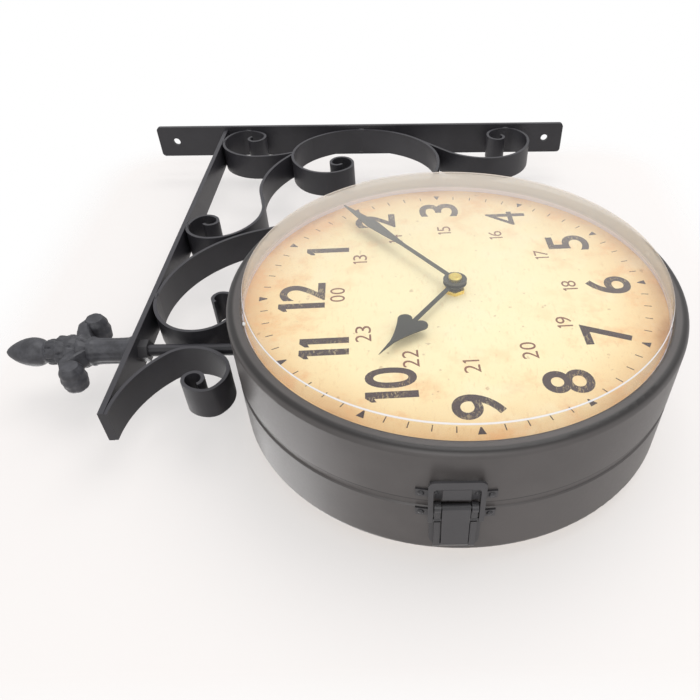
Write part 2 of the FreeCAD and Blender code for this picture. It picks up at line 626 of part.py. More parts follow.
def clock_side(side, turn):
    """The case half, lens, dial, movement and hands that one face of the clock has."""
    where = dict(x=CLOCK_X, y=SEAM_Y, z=CLOCK_Z, turn=turn)
    made = {}

    def add(name, obj):
        made[side + "_" + name] = obj
        return obj

    owner = add("shell", shell(side + "_shell", side, turn))
    if side == "back":
        hole = sketch_on(owner, "XY_Plane")
        circle(hole, "0", "-Sizes.seam_set", "Sizes.rod_thread_radius")
        pocket(owner, hole, "Sizes.case_radius + 1", reverse=True)

    mouth = "(Sizes.case_radius - Sizes.bezel_width - Sizes.lens_play)"
    depth = "Sizes.door_depth" if side == "front" else "Sizes.case_depth"
    lip = "(%s - Sizes.lip_radius)" % depth
    front = "(%s + Sizes.lens_stand)" % depth
    dial_face = "(%s - Sizes.dial_set)" % depth
    dial_back = "(%s - Sizes.dial_set - Sizes.dial_thick)" % depth
    rim = "(%s - Sizes.lens_draft)" % mouth
    edge = "Sizes.lens_edge_radius"
    add("lens", turned(side + "_lens", [
        ("0", "-" + front), ("%s - %s" % (rim, edge), "-" + front),
        ("%s - %s * 0.3" % (rim, edge), "-%s + %s * 0.3" % (front, edge)),
        (rim, "-%s + %s" % (front, edge)), (mouth, "-" + lip),
        (mouth + " + Sizes.flange_width", "-" + lip),
        (mouth + " + Sizes.flange_width", "-%s + Sizes.flange_thick" % lip),
        (mouth + " - Sizes.lens_sheet", "-%s + Sizes.flange_thick" % lip),
        (rim + " - Sizes.lens_sheet", "-%s + Sizes.lens_sheet + 0.3" % front),
        (rim + " - Sizes.lens_sheet - 0.3", "-%s + Sizes.lens_sheet" % front),
        ("0", "-%s + Sizes.lens_sheet" % front),
    ], **where))
    add("spacer_ring", turned(side + "_spacer_ring", [
        (mouth, "-%s + Sizes.flange_thick" % lip),
        (mouth + " + Sizes.flange_width", "-%s + Sizes.flange_thick" % lip),
        (mouth + " + Sizes.flange_width", "-" + dial_face), (mouth, "-" + dial_face),
    ], **where))
    add("dial", turned(side + "_dial", [
        ("Sizes.bush_radius", "-" + dial_face), (mouth + " + Sizes.flange_width", "-" + dial_face),
        (mouth + " + Sizes.flange_width", "-" + dial_back), ("Sizes.bush_radius", "-" + dial_back),
    ], **where))
    seat = "-" + dial_back
    leg = "%s - Sizes.carrier_thick" % RADIUS_IN
    add("dial_carrier", turned(side + "_dial_carrier", [
        (RADIUS_IN + " - Sizes.carrier_width", seat), (leg, seat),
        (leg, "%s + Sizes.carrier_thick - Sizes.carrier_depth" % seat),
        (RADIUS_IN, "%s + Sizes.carrier_thick - Sizes.carrier_depth" % seat),
        (RADIUS_IN, seat + " + Sizes.carrier_thick"),
        (RADIUS_IN + " - Sizes.carrier_width", seat + " + Sizes.carrier_thick"),
    ], **where))

    # Heights on the XZ plane of these bodies grow outwards, from the seam to the lens.
    rear = "(%s - Sizes.movement_thick)" % dial_back
    owner = add("movement", body(side + "_movement", **where))
    drawn = sketch_on(owner, "XZ_Plane", rear)
    half = "Sizes.movement_side / 2"
    polygon(drawn, [("-" + half, "-" + half), (half, "-" + half), (half, half), ("-" + half, half)])
    pad(owner, drawn, "Sizes.movement_thick")
    round_edges(owner, Vector(0, 1, 0), "Sizes.movement_corner")
    bush = sketch_on(owner, "XZ_Plane", dial_back)
    circle(bush, "0", "0", "Sizes.bush_radius")
    pad(owner, bush, "Sizes.dial_thick + Sizes.bush_length")
    bore = sketch_on(owner, "XZ_Plane", dial_back + " - Sizes.bore_depth")
    circle(bore, "0", "0", "Sizes.hour_tube_radius + Sizes.running_fit")
    pocket(owner, bore, "Sizes.bore_depth + Sizes.dial_thick + Sizes.bush_length", reverse=True)
    bore = sketch_on(owner, "XZ_Plane", dial_back + " - 2 * Sizes.bore_depth")
    circle(bore, "0", "0", "Sizes.minute_shaft_radius + Sizes.running_fit")
    pocket(owner, bore, "Sizes.bore_depth", reverse=True)
    bay_high = "(Sizes.battery_radius + Sizes.bay_play)"
    bay_long = "(Sizes.battery_length / 2 + Sizes.battery_nub_length / 2 + Sizes.bay_play)"
    bay_z = "(%s - Sizes.movement_side / 2 + Sizes.bay_edge)" % bay_high
    bay = sketch_on(owner, "XZ_Plane", rear)
    polygon(bay, [("-" + bay_long, "%s - %s" % (bay_z, bay_high)), (bay_long, "%s - %s" % (bay_z, bay_high)),
                  (bay_long, "%s + %s" % (bay_z, bay_high)), ("-" + bay_long, "%s + %s" % (bay_z, bay_high))])
    pocket(owner, bay, "2 * Sizes.battery_radius + Sizes.bay_play", reverse=True)
    stem = sketch_on(owner, "XZ_Plane", rear)
    circle(stem, "Sizes.knob_out", "Sizes.knob_up", "Sizes.knob_stem_radius + Sizes.running_fit")
    pocket(owner, stem, "Sizes.knob_stem_length", reverse=True)

    battery_y = "-(%s + Sizes.battery_radius + Sizes.bay_play)" % rear
    owner = add("battery", body(side + "_battery", **where))
    drawn = sketch_on(owner, "YZ_Plane", "-" + bay_long + " + Sizes.bay_play")
    circle(drawn, battery_y, bay_z, "Sizes.battery_radius")
    pad(owner, drawn, "Sizes.battery_length")
    nub = sketch_on(owner, "YZ_Plane", "-" + bay_long + " + Sizes.bay_play + Sizes.battery_length")
    circle(nub, battery_y, bay_z, "Sizes.battery_nub_radius")
    pad(owner, nub, "Sizes.battery_nub_length")

    add("set_knob", turned_out(side + "_set_knob", [
        ("0", rear + " - Sizes.knuckle_play - Sizes.knob_height"),
        ("Sizes.knob_radius", rear + " - Sizes.knuckle_play - Sizes.knob_height"),
        ("Sizes.knob_radius", rear + " - Sizes.knuckle_play"),
        ("Sizes.knob_stem_radius", rear + " - Sizes.knuckle_play"),
        ("Sizes.knob_stem_radius", rear + " + Sizes.knob_stem_length - Sizes.knuckle_play"),
        ("0", rear + " + Sizes.knob_stem_length - Sizes.knuckle_play"),
    ], "Sizes.knob_out", "Sizes.knob_up", turn))

    nut = body(side + "_bush_nut", **where)
    drawn = sketch_on(nut, "XZ_Plane", dial_face)
    reach = "(Sizes.bush_nut_flats / sqrt(3))"
    polygon(drawn, [("%s * cos(%d)" % (reach, a), "%s * sin(%d)" % (reach, a)) for a in range(0, 360, 60)])
    pad(nut, drawn, "Sizes.bush_nut_thick")
    hole = sketch_on(nut, "XZ_Plane", dial_face)
    circle(hole, "0", "0", "Sizes.bush_radius")
    pocket(nut, hole, "Sizes.bush_nut_thick", reverse=True)
    add("bush_nut", nut)

    minute_angle = S.shown_minute * 6.0
    hour_angle = S.shown_hour * 30.0 + S.shown_minute / 2.0
    hour_turn = turn.multiply(Rotation(Vector(0, 1, 0), hour_angle))
    minute_turn = turn.multiply(Rotation(Vector(0, 1, 0), minute_angle))
    hour_top = dial_face + " + Sizes.hour_tube_length"
    minute_seat = "(%s + Sizes.hand_gap)" % hour_top
    tube_foot = dial_back + " - Sizes.bore_depth + Sizes.knuckle_play"
    owner = add("hour_tube", body(side + "_hour_tube", CLOCK_X, SEAM_Y, CLOCK_Z, hour_turn))
    drawn = sketch_on(owner, "XZ_Plane", tube_foot)
    circle(drawn, "0", "0", "Sizes.hour_tube_radius")
    circle(drawn, "0", "0", "Sizes.minute_shaft_radius + Sizes.running_fit")
    pad(owner, drawn, "%s - (%s)" % (hour_top, tube_foot))
    shaft_foot = dial_back + " - 2 * Sizes.bore_depth + Sizes.knuckle_play"
    owner = add("minute_shaft", body(side + "_minute_shaft", CLOCK_X, SEAM_Y, CLOCK_Z, minute_turn))
    drawn = sketch_on(owner, "XZ_Plane", shaft_foot)
    circle(drawn, "0", "0", "Sizes.minute_shaft_radius")
    pad(owner, drawn, "%s + Sizes.minute_shaft_length - (%s)" % (dial_face, shaft_foot))

    spade, wide = S.spade_at, S.spade_width / 2
    stem_half = S.hand_stem_width / 2
    lobe = spade - S.spade_length * 0.3
    hour_half = [(stem_half, lobe - 1.0),
                 ((wide * 0.72, lobe - S.spade_length * 0.22), (wide, spade - 1.5)),
                 ((wide * 0.42, spade + S.spade_length * 0.55),
                  (stem_half * 0.9, spade + S.spade_length)),
                 (0.0, S.hour_hand_length)]
    minute_half = [(stem_half, S.minute_leaf_start),
                   (S.minute_leaf_width / 2, S.minute_leaf_at),
                   (0.35, S.minute_hand_length)]
    seats = (("hour_hand", hour_half, "%s - Sizes.hand_sheet" % hour_top, "Sizes.hour_tube_radius", hour_turn),
             ("minute_hand", minute_half, minute_seat, "Sizes.minute_shaft_radius", minute_turn))
    for name, half_outline, lift, bore_radius, hand_turn in seats:
        owner = add(name, body(side + "_" + name, CLOCK_X, SEAM_Y, CLOCK_Z, hand_turn))
        drawn = sketch_on(owner, "XZ_Plane", lift)
        circle(drawn, "0", "0", "Sizes.hub_radius")
        pad(owner, drawn, "Sizes.hand_sheet")
        blade = sketch_on(owner, "XZ_Plane", lift)
        chain(blade, (stem_half, S.hub_radius * 0.8), mirrored_outline(half_outline, stem_half,
                                                                      S.hub_radius * 0.8))
        pad(owner, blade, "Sizes.hand_sheet")
        bore = sketch_on(owner, "XZ_Plane", lift)
        circle(bore, "0", "0", bore_radius)
        pocket(owner, bore, "Sizes.hand_sheet", reverse=True)

    base = "(%s + Sizes.hand_sheet)" % minute_seat
    shaft_end = "(%s + Sizes.minute_shaft_length)" % dial_face
    add("cap_nut", turned(side + "_cap_nut", [
        ("Sizes.minute_shaft_radius", "-" + base), ("Sizes.cap_nut_radius", "-" + base),
        ("Sizes.cap_nut_radius", "-%s - Sizes.cap_nut_height * 0.65" % base),
        ("Sizes.cap_nut_radius * 0.72", "-%s - Sizes.cap_nut_height" % base),
        ("0", "-%s - Sizes.cap_nut_height" % base), ("0", "-" + shaft_end),
        ("Sizes.minute_shaft_radius", "-" + shaft_end),
    ], x=CLOCK_X, y=SEAM_Y, z=CLOCK_Z, turn=minute_turn))
    return made


def mirrored_outline(half, start_x, start_y):
    """Closes a half outline of steps over its mirror image in x = 0."""
    steps = list(half)
    corners = [(start_x, start_y)] + [step[1] if isinstance(step[0], tuple) else step for step in half]
    if corners[-1][0] > 0:
        steps.append((-corners[-1][0], corners[-1][1]))
    for index in range(len(half) - 1, -1, -1):
        end = (-corners[index][0], corners[index][1])
        if isinstance(half[index][0], tuple):
            steps.append(((-half[index][0][0], half[index][0][1]), end))
        else:
            steps.append(end)
    steps.append((start_x, start_y))
    return steps


def turned_out(label, points, out, up, turn):
    """A revolved piece whose axis stands off the clock's axis; heights grow outwards."""
    sign = "" if turn == FRONT else "-"
    return turned(label, [(radius, "-(%s)" % height) for radius, height in points],
                  x="%s + %s%s" % (CLOCK_X, sign, out), y=SEAM_Y,
                  z="%s + %s" % (CLOCK_Z, up), turn=turn)


nodes = {}
for side, turn in (("front", FRONT), ("back", BACK)):
    nodes.update(clock_side(side, turn))

# ----------------------------------------------------------------------------- hinge
ALONG_Y = Rotation(Vector(1, 0, 0), -90)
case_drum = drum("case_drum", "Sizes.case_radius", "4 * Sizes.case_depth", CLOCK_X,
                 SEAM_Y + " - 2 * Sizes.case_depth", CLOCK_Z, ALONG_Y)
PIN_X = CLOCK_X + " + Sizes.case_radius + Sizes.barrel_out"
HINGE_FOOT = CLOCK_Z + " - Sizes.hinge_length / 2"
third = "(Sizes.hinge_length / 3)"
hinge_bore = drum("hinge_bore", "Sizes.hinge_pin_radius", "Sizes.hinge_length + 2", PIN_X, SEAM_Y,
                  HINGE_FOOT + " - 1")
running_bore = drum("running_bore", "Sizes.hinge_pin_radius + Sizes.running_fit",
                    "Sizes.hinge_length + 2", PIN_X, SEAM_Y, HINGE_FOOT + " - 1")


def hinge_leaf(label, sign, spans, bore):
    """A hinge leaf rolled to the case: plate, tongues and knuckles less the pin's bore."""
    base_x = CLOCK_X + " + Sizes.case_radius - 2 * Sizes.leaf_thick"
    deep = "3 * Sizes.leaf_thick"
    far = "Sizes.leaf_width" if sign < 0 else "Sizes.leaf_start"
    solids = [box(label + "_plate", deep, "Sizes.leaf_width - Sizes.leaf_start",
                  "Sizes.hinge_length", base_x, "%s %s %s" % (SEAM_Y, "-" if sign < 0 else "+", far),
                  HINGE_FOOT)]
    for number, (start, length) in enumerate(spans):
        foot = "%s + %s" % (HINGE_FOOT, start)
        y = SEAM_Y + (" - Sizes.leaf_start" if sign < 0 else "")
        solids.append(box("%s_tongue%d" % (label, number), deep, "Sizes.leaf_start", length, base_x, y, foot))
        solids.append(drum("%s_knuckle%d" % (label, number), "Sizes.barrel_radius", length, PIN_X, SEAM_Y, foot))
    whole = boolean("Fuse", label + "_blank", solids[0], *solids[1:])
    seated = boolean("Cut", label + "_seated", whole, case_drum)
    return boolean("Cut", label, seated, bore)


nodes["hinge_leaf_back"] = hinge_leaf("hinge_leaf_back", 1, [
    ("0", third + " - Sizes.knuckle_play"),
    ("2 * %s + Sizes.knuckle_play" % third, third + " - Sizes.knuckle_play")], hinge_bore)
nodes["hinge_leaf_front"] = hinge_leaf("hinge_leaf_front", -1, [(third, third)], running_bore)
nodes["hinge_pin"] = drum("hinge_pin", "Sizes.hinge_pin_radius", "Sizes.hinge_length", PIN_X, SEAM_Y,
                          HINGE_FOOT)

# ----------------------------------------------------------------------------- latch
# Sketches on the XY plane of these bodies have the height above the case along -X.
LATCH_X = CLOCK_X + " - Sizes.case_radius"
LATCH_Z = CLOCK_Z + " + Sizes.latch_rise"
latch_at = dict(x=LATCH_X, y=SEAM_Y, z=LATCH_Z)
skin_drum = drum("skin_drum", "Sizes.case_radius + Sizes.latch_sheet", "4 * Sizes.case_depth", CLOCK_X,
                 SEAM_Y + " - 2 * Sizes.case_depth", CLOCK_Z, ALONG_Y)
latch_skin = boolean("Cut", "latch_skin", skin_drum, case_drum)


def plate(label, start, steps):
    """A latch plate rolled to the case, from its outline in y and along the case."""
    owner = body(label + "_outline", x=CLOCK_X, y=SEAM_Y, z=LATCH_Z)
    drawn = sketch_on(owner, "YZ_Plane")
    chain(drawn, start, steps)
    pad(owner, drawn, "Sizes.case_radius + 5", reverse=True)
    return boolean("Common", label + "_plate", owner, latch_skin)


def profile(label, points, reach):
    """Pads a (height, y) outline along Z, about the middle of the latch."""
    owner = body(label, **latch_at)
    drawn = sketch_on(owner, "XY_Plane")
    polygon(drawn, [("-(%s)" % height, y) for height, y in points])
    pad(owner, drawn, "2 * " + reach, midplane=True)
    return owner


def cheek(label, points, start, end):
    """Pads a (height, y) outline from one level along Z to another."""
    owner = body(label, **latch_at)
    drawn = sketch_on(owner, "XY_Plane", start)
    polygon(drawn, [("-(%s)" % height, y) for height, y in points])
    pad(owner, drawn, "%s - (%s)" % (end, start))
    return owner


def boss(label, radius, height, y, start, end):
    """A round boss or pin along Z between two levels of the latch."""
    return drum(label, radius, "%s - (%s)" % (end, start), "%s - (%s)" % (LATCH_X, height),
                "%s + %s" % (SEAM_Y, y), "%s + %s" % (LATCH_Z, start))


half_w, ear_w = S.latch_half_width, S.ear_half_width
near, far = -S.catch_start, -S.catch_end
ear_near, ear_far = -S.ear_set, -S.ear_set - S.ear_depth
catch_plate = plate("catch", (near, -half_w), [
    (ear_near, -half_w), (ear_near, -ear_w), (ear_far, -ear_w), (ear_far, -half_w), (far, -half_w),
    (far, half_w), (ear_far, half_w), (ear_far, ear_w), (ear_near, ear_w), (ear_near, half_w),
    (near, half_w), (near, -half_w)])
hook = profile("catch_hook", [
    ("-Sizes.latch_sheet", "-Sizes.catch_start - 3.5"), ("1.3", "-Sizes.catch_start - 2.3"),
    ("1.4", "-Sizes.hook_end"), ("Sizes.hook_height", "-Sizes.hook_end"),
    ("Sizes.hook_height", "-Sizes.catch_start - 1.2"), ("1.6", "-Sizes.catch_start - 0.7"),
    ("-Sizes.latch_sheet", "-Sizes.catch_start - 1.6")], "Sizes.hook_half_width")
catch_whole = boolean("Fuse", "catch_whole", catch_plate, hook)
nodes["latch_catch"] = boolean("Cut", "latch_catch", catch_whole, case_drum)

end, corner = S.base_end, S.base_corner
arc_in = corner * (1 - math.sin(math.pi / 4))
base_plate = plate("base", (S.seam_gap, -half_w), [
    (-ear_near, -half_w), (-ear_near, -ear_w), (-ear_far, -ear_w), (-ear_far, -half_w),
    (end - corner, -half_w), ((end - arc_in, arc_in - half_w), (end, corner - half_w)),
    (end, half_w - corner), ((end - arc_in, half_w - arc_in), (end - corner, half_w)),
    (-ear_far, half_w), (-ear_far, ear_w), (-ear_near, ear_w), (-ear_near, half_w),
    (S.seam_gap, half_w), (S.seam_gap, -half_w)])
slot_near = "Sizes.link_set - Sizes.link_radius - Sizes.slot_play"
slot_far = "Sizes.link_set + Sizes.link_radius + Sizes.slot_play"
slot_floor = "Sizes.link_height - Sizes.link_radius - Sizes.slot_play"
cheek_points = [
    ("-3 * Sizes.latch_sheet", "Sizes.seam_gap + 0.1"), ("Sizes.cheek_height", "Sizes.seam_gap + 0.1"),
    ("Sizes.cheek_height", slot_near), (slot_floor, slot_near), (slot_floor, slot_far),
    ("Sizes.cheek_height", slot_far), ("Sizes.cheek_height", "Sizes.base_end - 4.5"),
    ("Sizes.latch_sheet + 0.3", "Sizes.base_end - 1"), ("-3 * Sizes.latch_sheet", "Sizes.base_end - 1")]
levels = (("Sizes.cheek_inner", "Sizes.cheek_outer"), ("-Sizes.cheek_outer", "-Sizes.cheek_inner"))
solids = []
for number, (start, stop) in enumerate(levels):
    solids.append(cheek("base_cheek%d" % number, cheek_points, start, stop))
    solids.append(boss("base_ear%d" % number, "Sizes.ear_radius", "Sizes.pivot_height",
                       "-Sizes.pivot_set", start, stop))
solids.append(profile("base_end_wall", [
    ("-3 * Sizes.latch_sheet", "Sizes.base_end - 5.5"), ("Sizes.cheek_height - 0.6", "Sizes.base_end - 5.5"),
    ("Sizes.cheek_height - 0.6", "Sizes.base_end - 4.2"),
    ("Sizes.latch_sheet + 0.3", "Sizes.base_end - 1"), ("-3 * Sizes.latch_sheet", "Sizes.base_end - 1")],
    "Sizes.cheek_inner"))
base_whole = boolean("Fuse", "base_whole", base_plate, *solids)
base_seated = boolean("Cut", "base_seated", base_whole, case_drum)
pivot_bore = boss("pivot_bore", "Sizes.pivot_radius", "Sizes.pivot_height", "-Sizes.pivot_set",
                  "-Sizes.cheek_outer - 1", "Sizes.cheek_outer + 1")
nodes["latch_base"] = boolean("Cut", "latch_base", base_seated, pivot_bore)
nodes["latch_pivot_pin"] = boss("latch_pivot_pin", "Sizes.pivot_radius", "Sizes.pivot_height",
                                "-Sizes.pivot_set", "-Sizes.cheek_outer", "Sizes.cheek_outer")

step_top = "Sizes.lever_height + Sizes.lever_drop"
lever_plate = profile("lever_plate", [
    (step_top + " - 0.5", "-Sizes.pivot_set - 1.4"), (step_top, "-Sizes.pivot_set - 0.3"),
    (step_top, "Sizes.lever_step"), ("Sizes.lever_height", "Sizes.lever_step + 0.3"),
    ("Sizes.lever_height", "Sizes.lever_end"), ("Sizes.lever_height - Sizes.lever_sheet", "Sizes.lever_end"),
    ("Sizes.lever_height - Sizes.lever_sheet", "Sizes.lever_step - 0.8"),
    (step_top + " - Sizes.lever_sheet", "Sizes.lever_step - 1.1"),
    (step_top + " - Sizes.lever_sheet", "-Sizes.pivot_set + 0.6"),
    ("Sizes.pivot_height", "-Sizes.pivot_set")], "Sizes.lever_half_width")
lever_ends = ("-Sizes.lever_half_width", "Sizes.lever_half_width")
lever_blank = boolean(
    "Fuse", "lever_blank", lever_plate,
    boss("lever_knuckle", "Sizes.knuckle_radius", "Sizes.pivot_height", "-Sizes.pivot_set", *lever_ends),
    boss("lever_link_boss", "Sizes.link_boss", "Sizes.link_height", "Sizes.link_set", *lever_ends))
lever_bores = boolean(
    "Fuse", "lever_bores",
    boss("lever_pivot_bore", "Sizes.pivot_radius + Sizes.running_fit", "Sizes.pivot_height",
         "-Sizes.pivot_set", "-Sizes.cheek_outer", "Sizes.cheek_outer"),
    boss("lever_link_bore", "Sizes.link_radius + Sizes.running_fit", "Sizes.link_height",
         "Sizes.link_set", "-Sizes.cheek_outer", "Sizes.cheek_outer"))
nodes["latch_lever"] = boolean("Cut", "latch_lever", lever_blank, lever_bores)
loop_ends = ("-Sizes.loop_half_width", "Sizes.loop_half_width")
nodes["latch_link_pin"] = boss("latch_link_pin", "Sizes.link_radius", "Sizes.link_height",
                               "Sizes.link_set", *loop_ends)

wide, side_w, corner = S.loop_half_width, S.loop_side, S.loop_corner
top, under, foot = -S.loop_bar_end, -S.loop_bar_start, S.link_set
arc_in = corner * (1 - math.sin(math.pi / 4))
inner = corner - side_w * 0.5
inner_in = inner * (1 - math.sin(math.pi / 4))
loop_frame = body("loop_frame", **latch_at)
drawn = sketch_on(loop_frame, "YZ_Plane", "-(Sizes.loop_height + Sizes.loop_sheet)")
chain(drawn, (foot, -wide), [
    (top + corner, -wide), ((top + arc_in, arc_in - wide), (top, corner - wide)),
    (top, wide - corner), ((top + arc_in, wide - arc_in), (top + corner, wide)),
    (foot, wide), (foot, wide - side_w),
    (under + inner, wide - side_w),
    ((under + inner_in, wide - side_w - inner_in), (under, wide - side_w - inner)),
    (under, side_w + inner - wide),
    ((under + inner_in, side_w + inner_in - wide), (under + inner, side_w - wide)),
    (foot, side_w - wide), (foot, -wide)])
pad(loop_frame, drawn, "Sizes.loop_sheet")
loop_solids = [loop_frame]
for number, (start, stop) in enumerate((
        ("Sizes.loop_half_width - Sizes.loop_side", "Sizes.loop_half_width"),
        ("-Sizes.loop_half_width", "-Sizes.loop_half_width + Sizes.loop_side"))):
    loop_solids.append(boss("loop_eye%d" % number, "Sizes.loop_eye", "Sizes.link_height",
                            "Sizes.link_set", start, stop))
loop_whole = boolean("Fuse", "loop_whole", *loop_solids)
loop_bore = boss("loop_bore", "Sizes.link_radius", "Sizes.link_height", "Sizes.link_set",
                 "-Sizes.loop_half_width - 1", "Sizes.loop_half_width + 1")
nodes["latch_loop"] = boolean("Cut", "latch_loop", loop_whole, loop_bore)

nodes.update({
    "wall_strip": wall_strip, "bracket_arm": bracket_arm, "main_scroll": main_scroll,
    "corner_scroll": corner_scroll, "branch_scroll": branch_scroll, "lower_scroll": lower_scroll,
    "outer_scroll": outer_scroll, "hanger_rod": hanger_rod, "arm_nut": arm_nut,
    "shell_nut": shell_nut, "shell_washer": shell_washer, "finial": finial,
})

# ------------------------------------------------------------------ checks and export
doc.recompute()
broken = [obj.Name for obj in doc.Objects if "Invalid" in obj.State or "Error" in obj.State]
if broken:
    raise RuntimeError("failed objects: " + ", ".join(broken))
for name, obj in nodes.items():
    if obj.Shape.isNull() or not obj.Shape.isValid() or len(obj.Shape.Solids) != 1:
        raise RuntimeError("%s is not one valid solid" % name)

os.makedirs("parts", exist_ok=True)
for name, obj in nodes.items():
    obj.Label = name
    obj.Shape.exportStep("parts/%s.step" % name)
print(len(nodes), "nodes written")
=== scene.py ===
"""Looks for a double sided station clock on a scrolled strip-iron bracket.

Every length is in metres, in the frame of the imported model: +Z up, the wall at +X, the door side
of the clock at -Y.  New pieces are worked out as numpy arrays, and finishes are node materials.
"""

import logging
import math
from dataclasses import dataclass, field
from enum import Enum

import bmesh
import bpy
import numpy as np
from mathutils import Matrix

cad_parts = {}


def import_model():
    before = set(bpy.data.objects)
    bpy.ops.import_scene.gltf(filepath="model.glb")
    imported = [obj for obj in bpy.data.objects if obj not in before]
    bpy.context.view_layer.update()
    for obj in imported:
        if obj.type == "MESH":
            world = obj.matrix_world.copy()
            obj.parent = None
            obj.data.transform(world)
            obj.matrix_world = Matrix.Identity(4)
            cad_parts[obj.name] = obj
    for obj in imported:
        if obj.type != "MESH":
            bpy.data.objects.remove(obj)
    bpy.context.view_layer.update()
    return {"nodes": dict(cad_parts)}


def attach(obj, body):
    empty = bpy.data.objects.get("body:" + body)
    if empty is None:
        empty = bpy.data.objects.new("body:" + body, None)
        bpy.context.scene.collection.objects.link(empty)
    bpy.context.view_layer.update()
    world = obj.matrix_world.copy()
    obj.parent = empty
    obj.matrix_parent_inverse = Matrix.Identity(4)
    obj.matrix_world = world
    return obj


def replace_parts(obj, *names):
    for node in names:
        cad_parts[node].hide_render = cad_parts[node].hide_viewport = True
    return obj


LOG = logging.getLogger("station_clock")
Number = float | int
Term = "Value | Number"
Colour = Triple = tuple[float, float, float]
Material = bpy.types.Material
Points = np.ndarray
Words = tuple[tuple[str, float, float], ...]

# The clock's axis in x and z, the plane in y where the two halves of the case meet, and the case.
AXIS_X, AXIS_Z = -0.282, -0.0627
SEAM_Y = -0.0124
CASE_RADIUS = 0.1185
# How far a lens stands out from the bezel, the latch's middle lies above the axis, and the paler
# band of a dry cell starts beside the axis; and the turn of the print on both dials.
LENS_STAND = 0.0083
LATCH_RISE = 0.0057
CELL_SPLIT = 0.010
PRINT_TURN = math.radians(-3.0)


def shade(red: int, green: int, blue: int) -> Colour:
    """Turns a display colour into the linear colour that a shader takes.

    Args:
        red, green, blue: the display levels, 0 to 255.
    Returns:
        The linear colour.
    """
    made = []
    for level in (red, green, blue):
        part = level / 255
        made.append(part / 12.92 if part <= 0.04045 else ((part + 0.055) / 1.055) ** 2.4)
    return tuple(made)


# ---- shader maths
class Value:
    """A number in a material: a node's output socket that Python's operators work on."""

    def __init__(self, tree: "Tree", socket: bpy.types.NodeSocket) -> None:
        """Keeps the socket and the tree that it is in."""
        self.tree, self.socket = tree, socket

    def _math(self, operation: str, *others: Term, swap: bool = False) -> "Value":
        """Adds one Math node.

        Args:
            operation: the Math node's operation.
            others: the other operands.
            swap: puts this value second.
        Returns:
            The node's result.
        """
        terms = [self, *others]
        if swap:
            terms = [terms[1], terms[0]]
        return self.tree.node("ShaderNodeMath", {"operation": operation}, terms)

    def __add__(self, other: Term) -> "Value":
        """This plus the other."""
        return self._math("ADD", other)

    def __sub__(self, other: Term) -> "Value":
        """This minus the other."""
        return self._math("SUBTRACT", other)

    def __rsub__(self, other: Number) -> "Value":
        """The other minus this."""
        return self._math("SUBTRACT", other, swap=True)

    def __mul__(self, other: Term) -> "Value":
        """This times the other."""
        return self._math("MULTIPLY", other)

    def __truediv__(self, other: Term) -> "Value":
        """This over the other."""
        return self._math("DIVIDE", other)

    def __pow__(self, other: Term) -> "Value":
        """This to the power of the other."""
        return self._math("POWER", other)

    __radd__, __rmul__ = __add__, __mul__

    def __abs__(self) -> "Value":
        """The size of this."""
        return self._math("ABSOLUTE")

    def step(self, low: Number, high: Number) -> "Value":
        """A smooth step from 0 at low to 1 at high."""
        return self.tree.node("ShaderNodeMapRange", {"interpolation_type": "SMOOTHSTEP"},
                              {"Value": self, "From Min": low, "From Max": high})

    def most(self, other: Term) -> "Value":
        """The larger of the two."""
        return self._math("MAXIMUM", other)


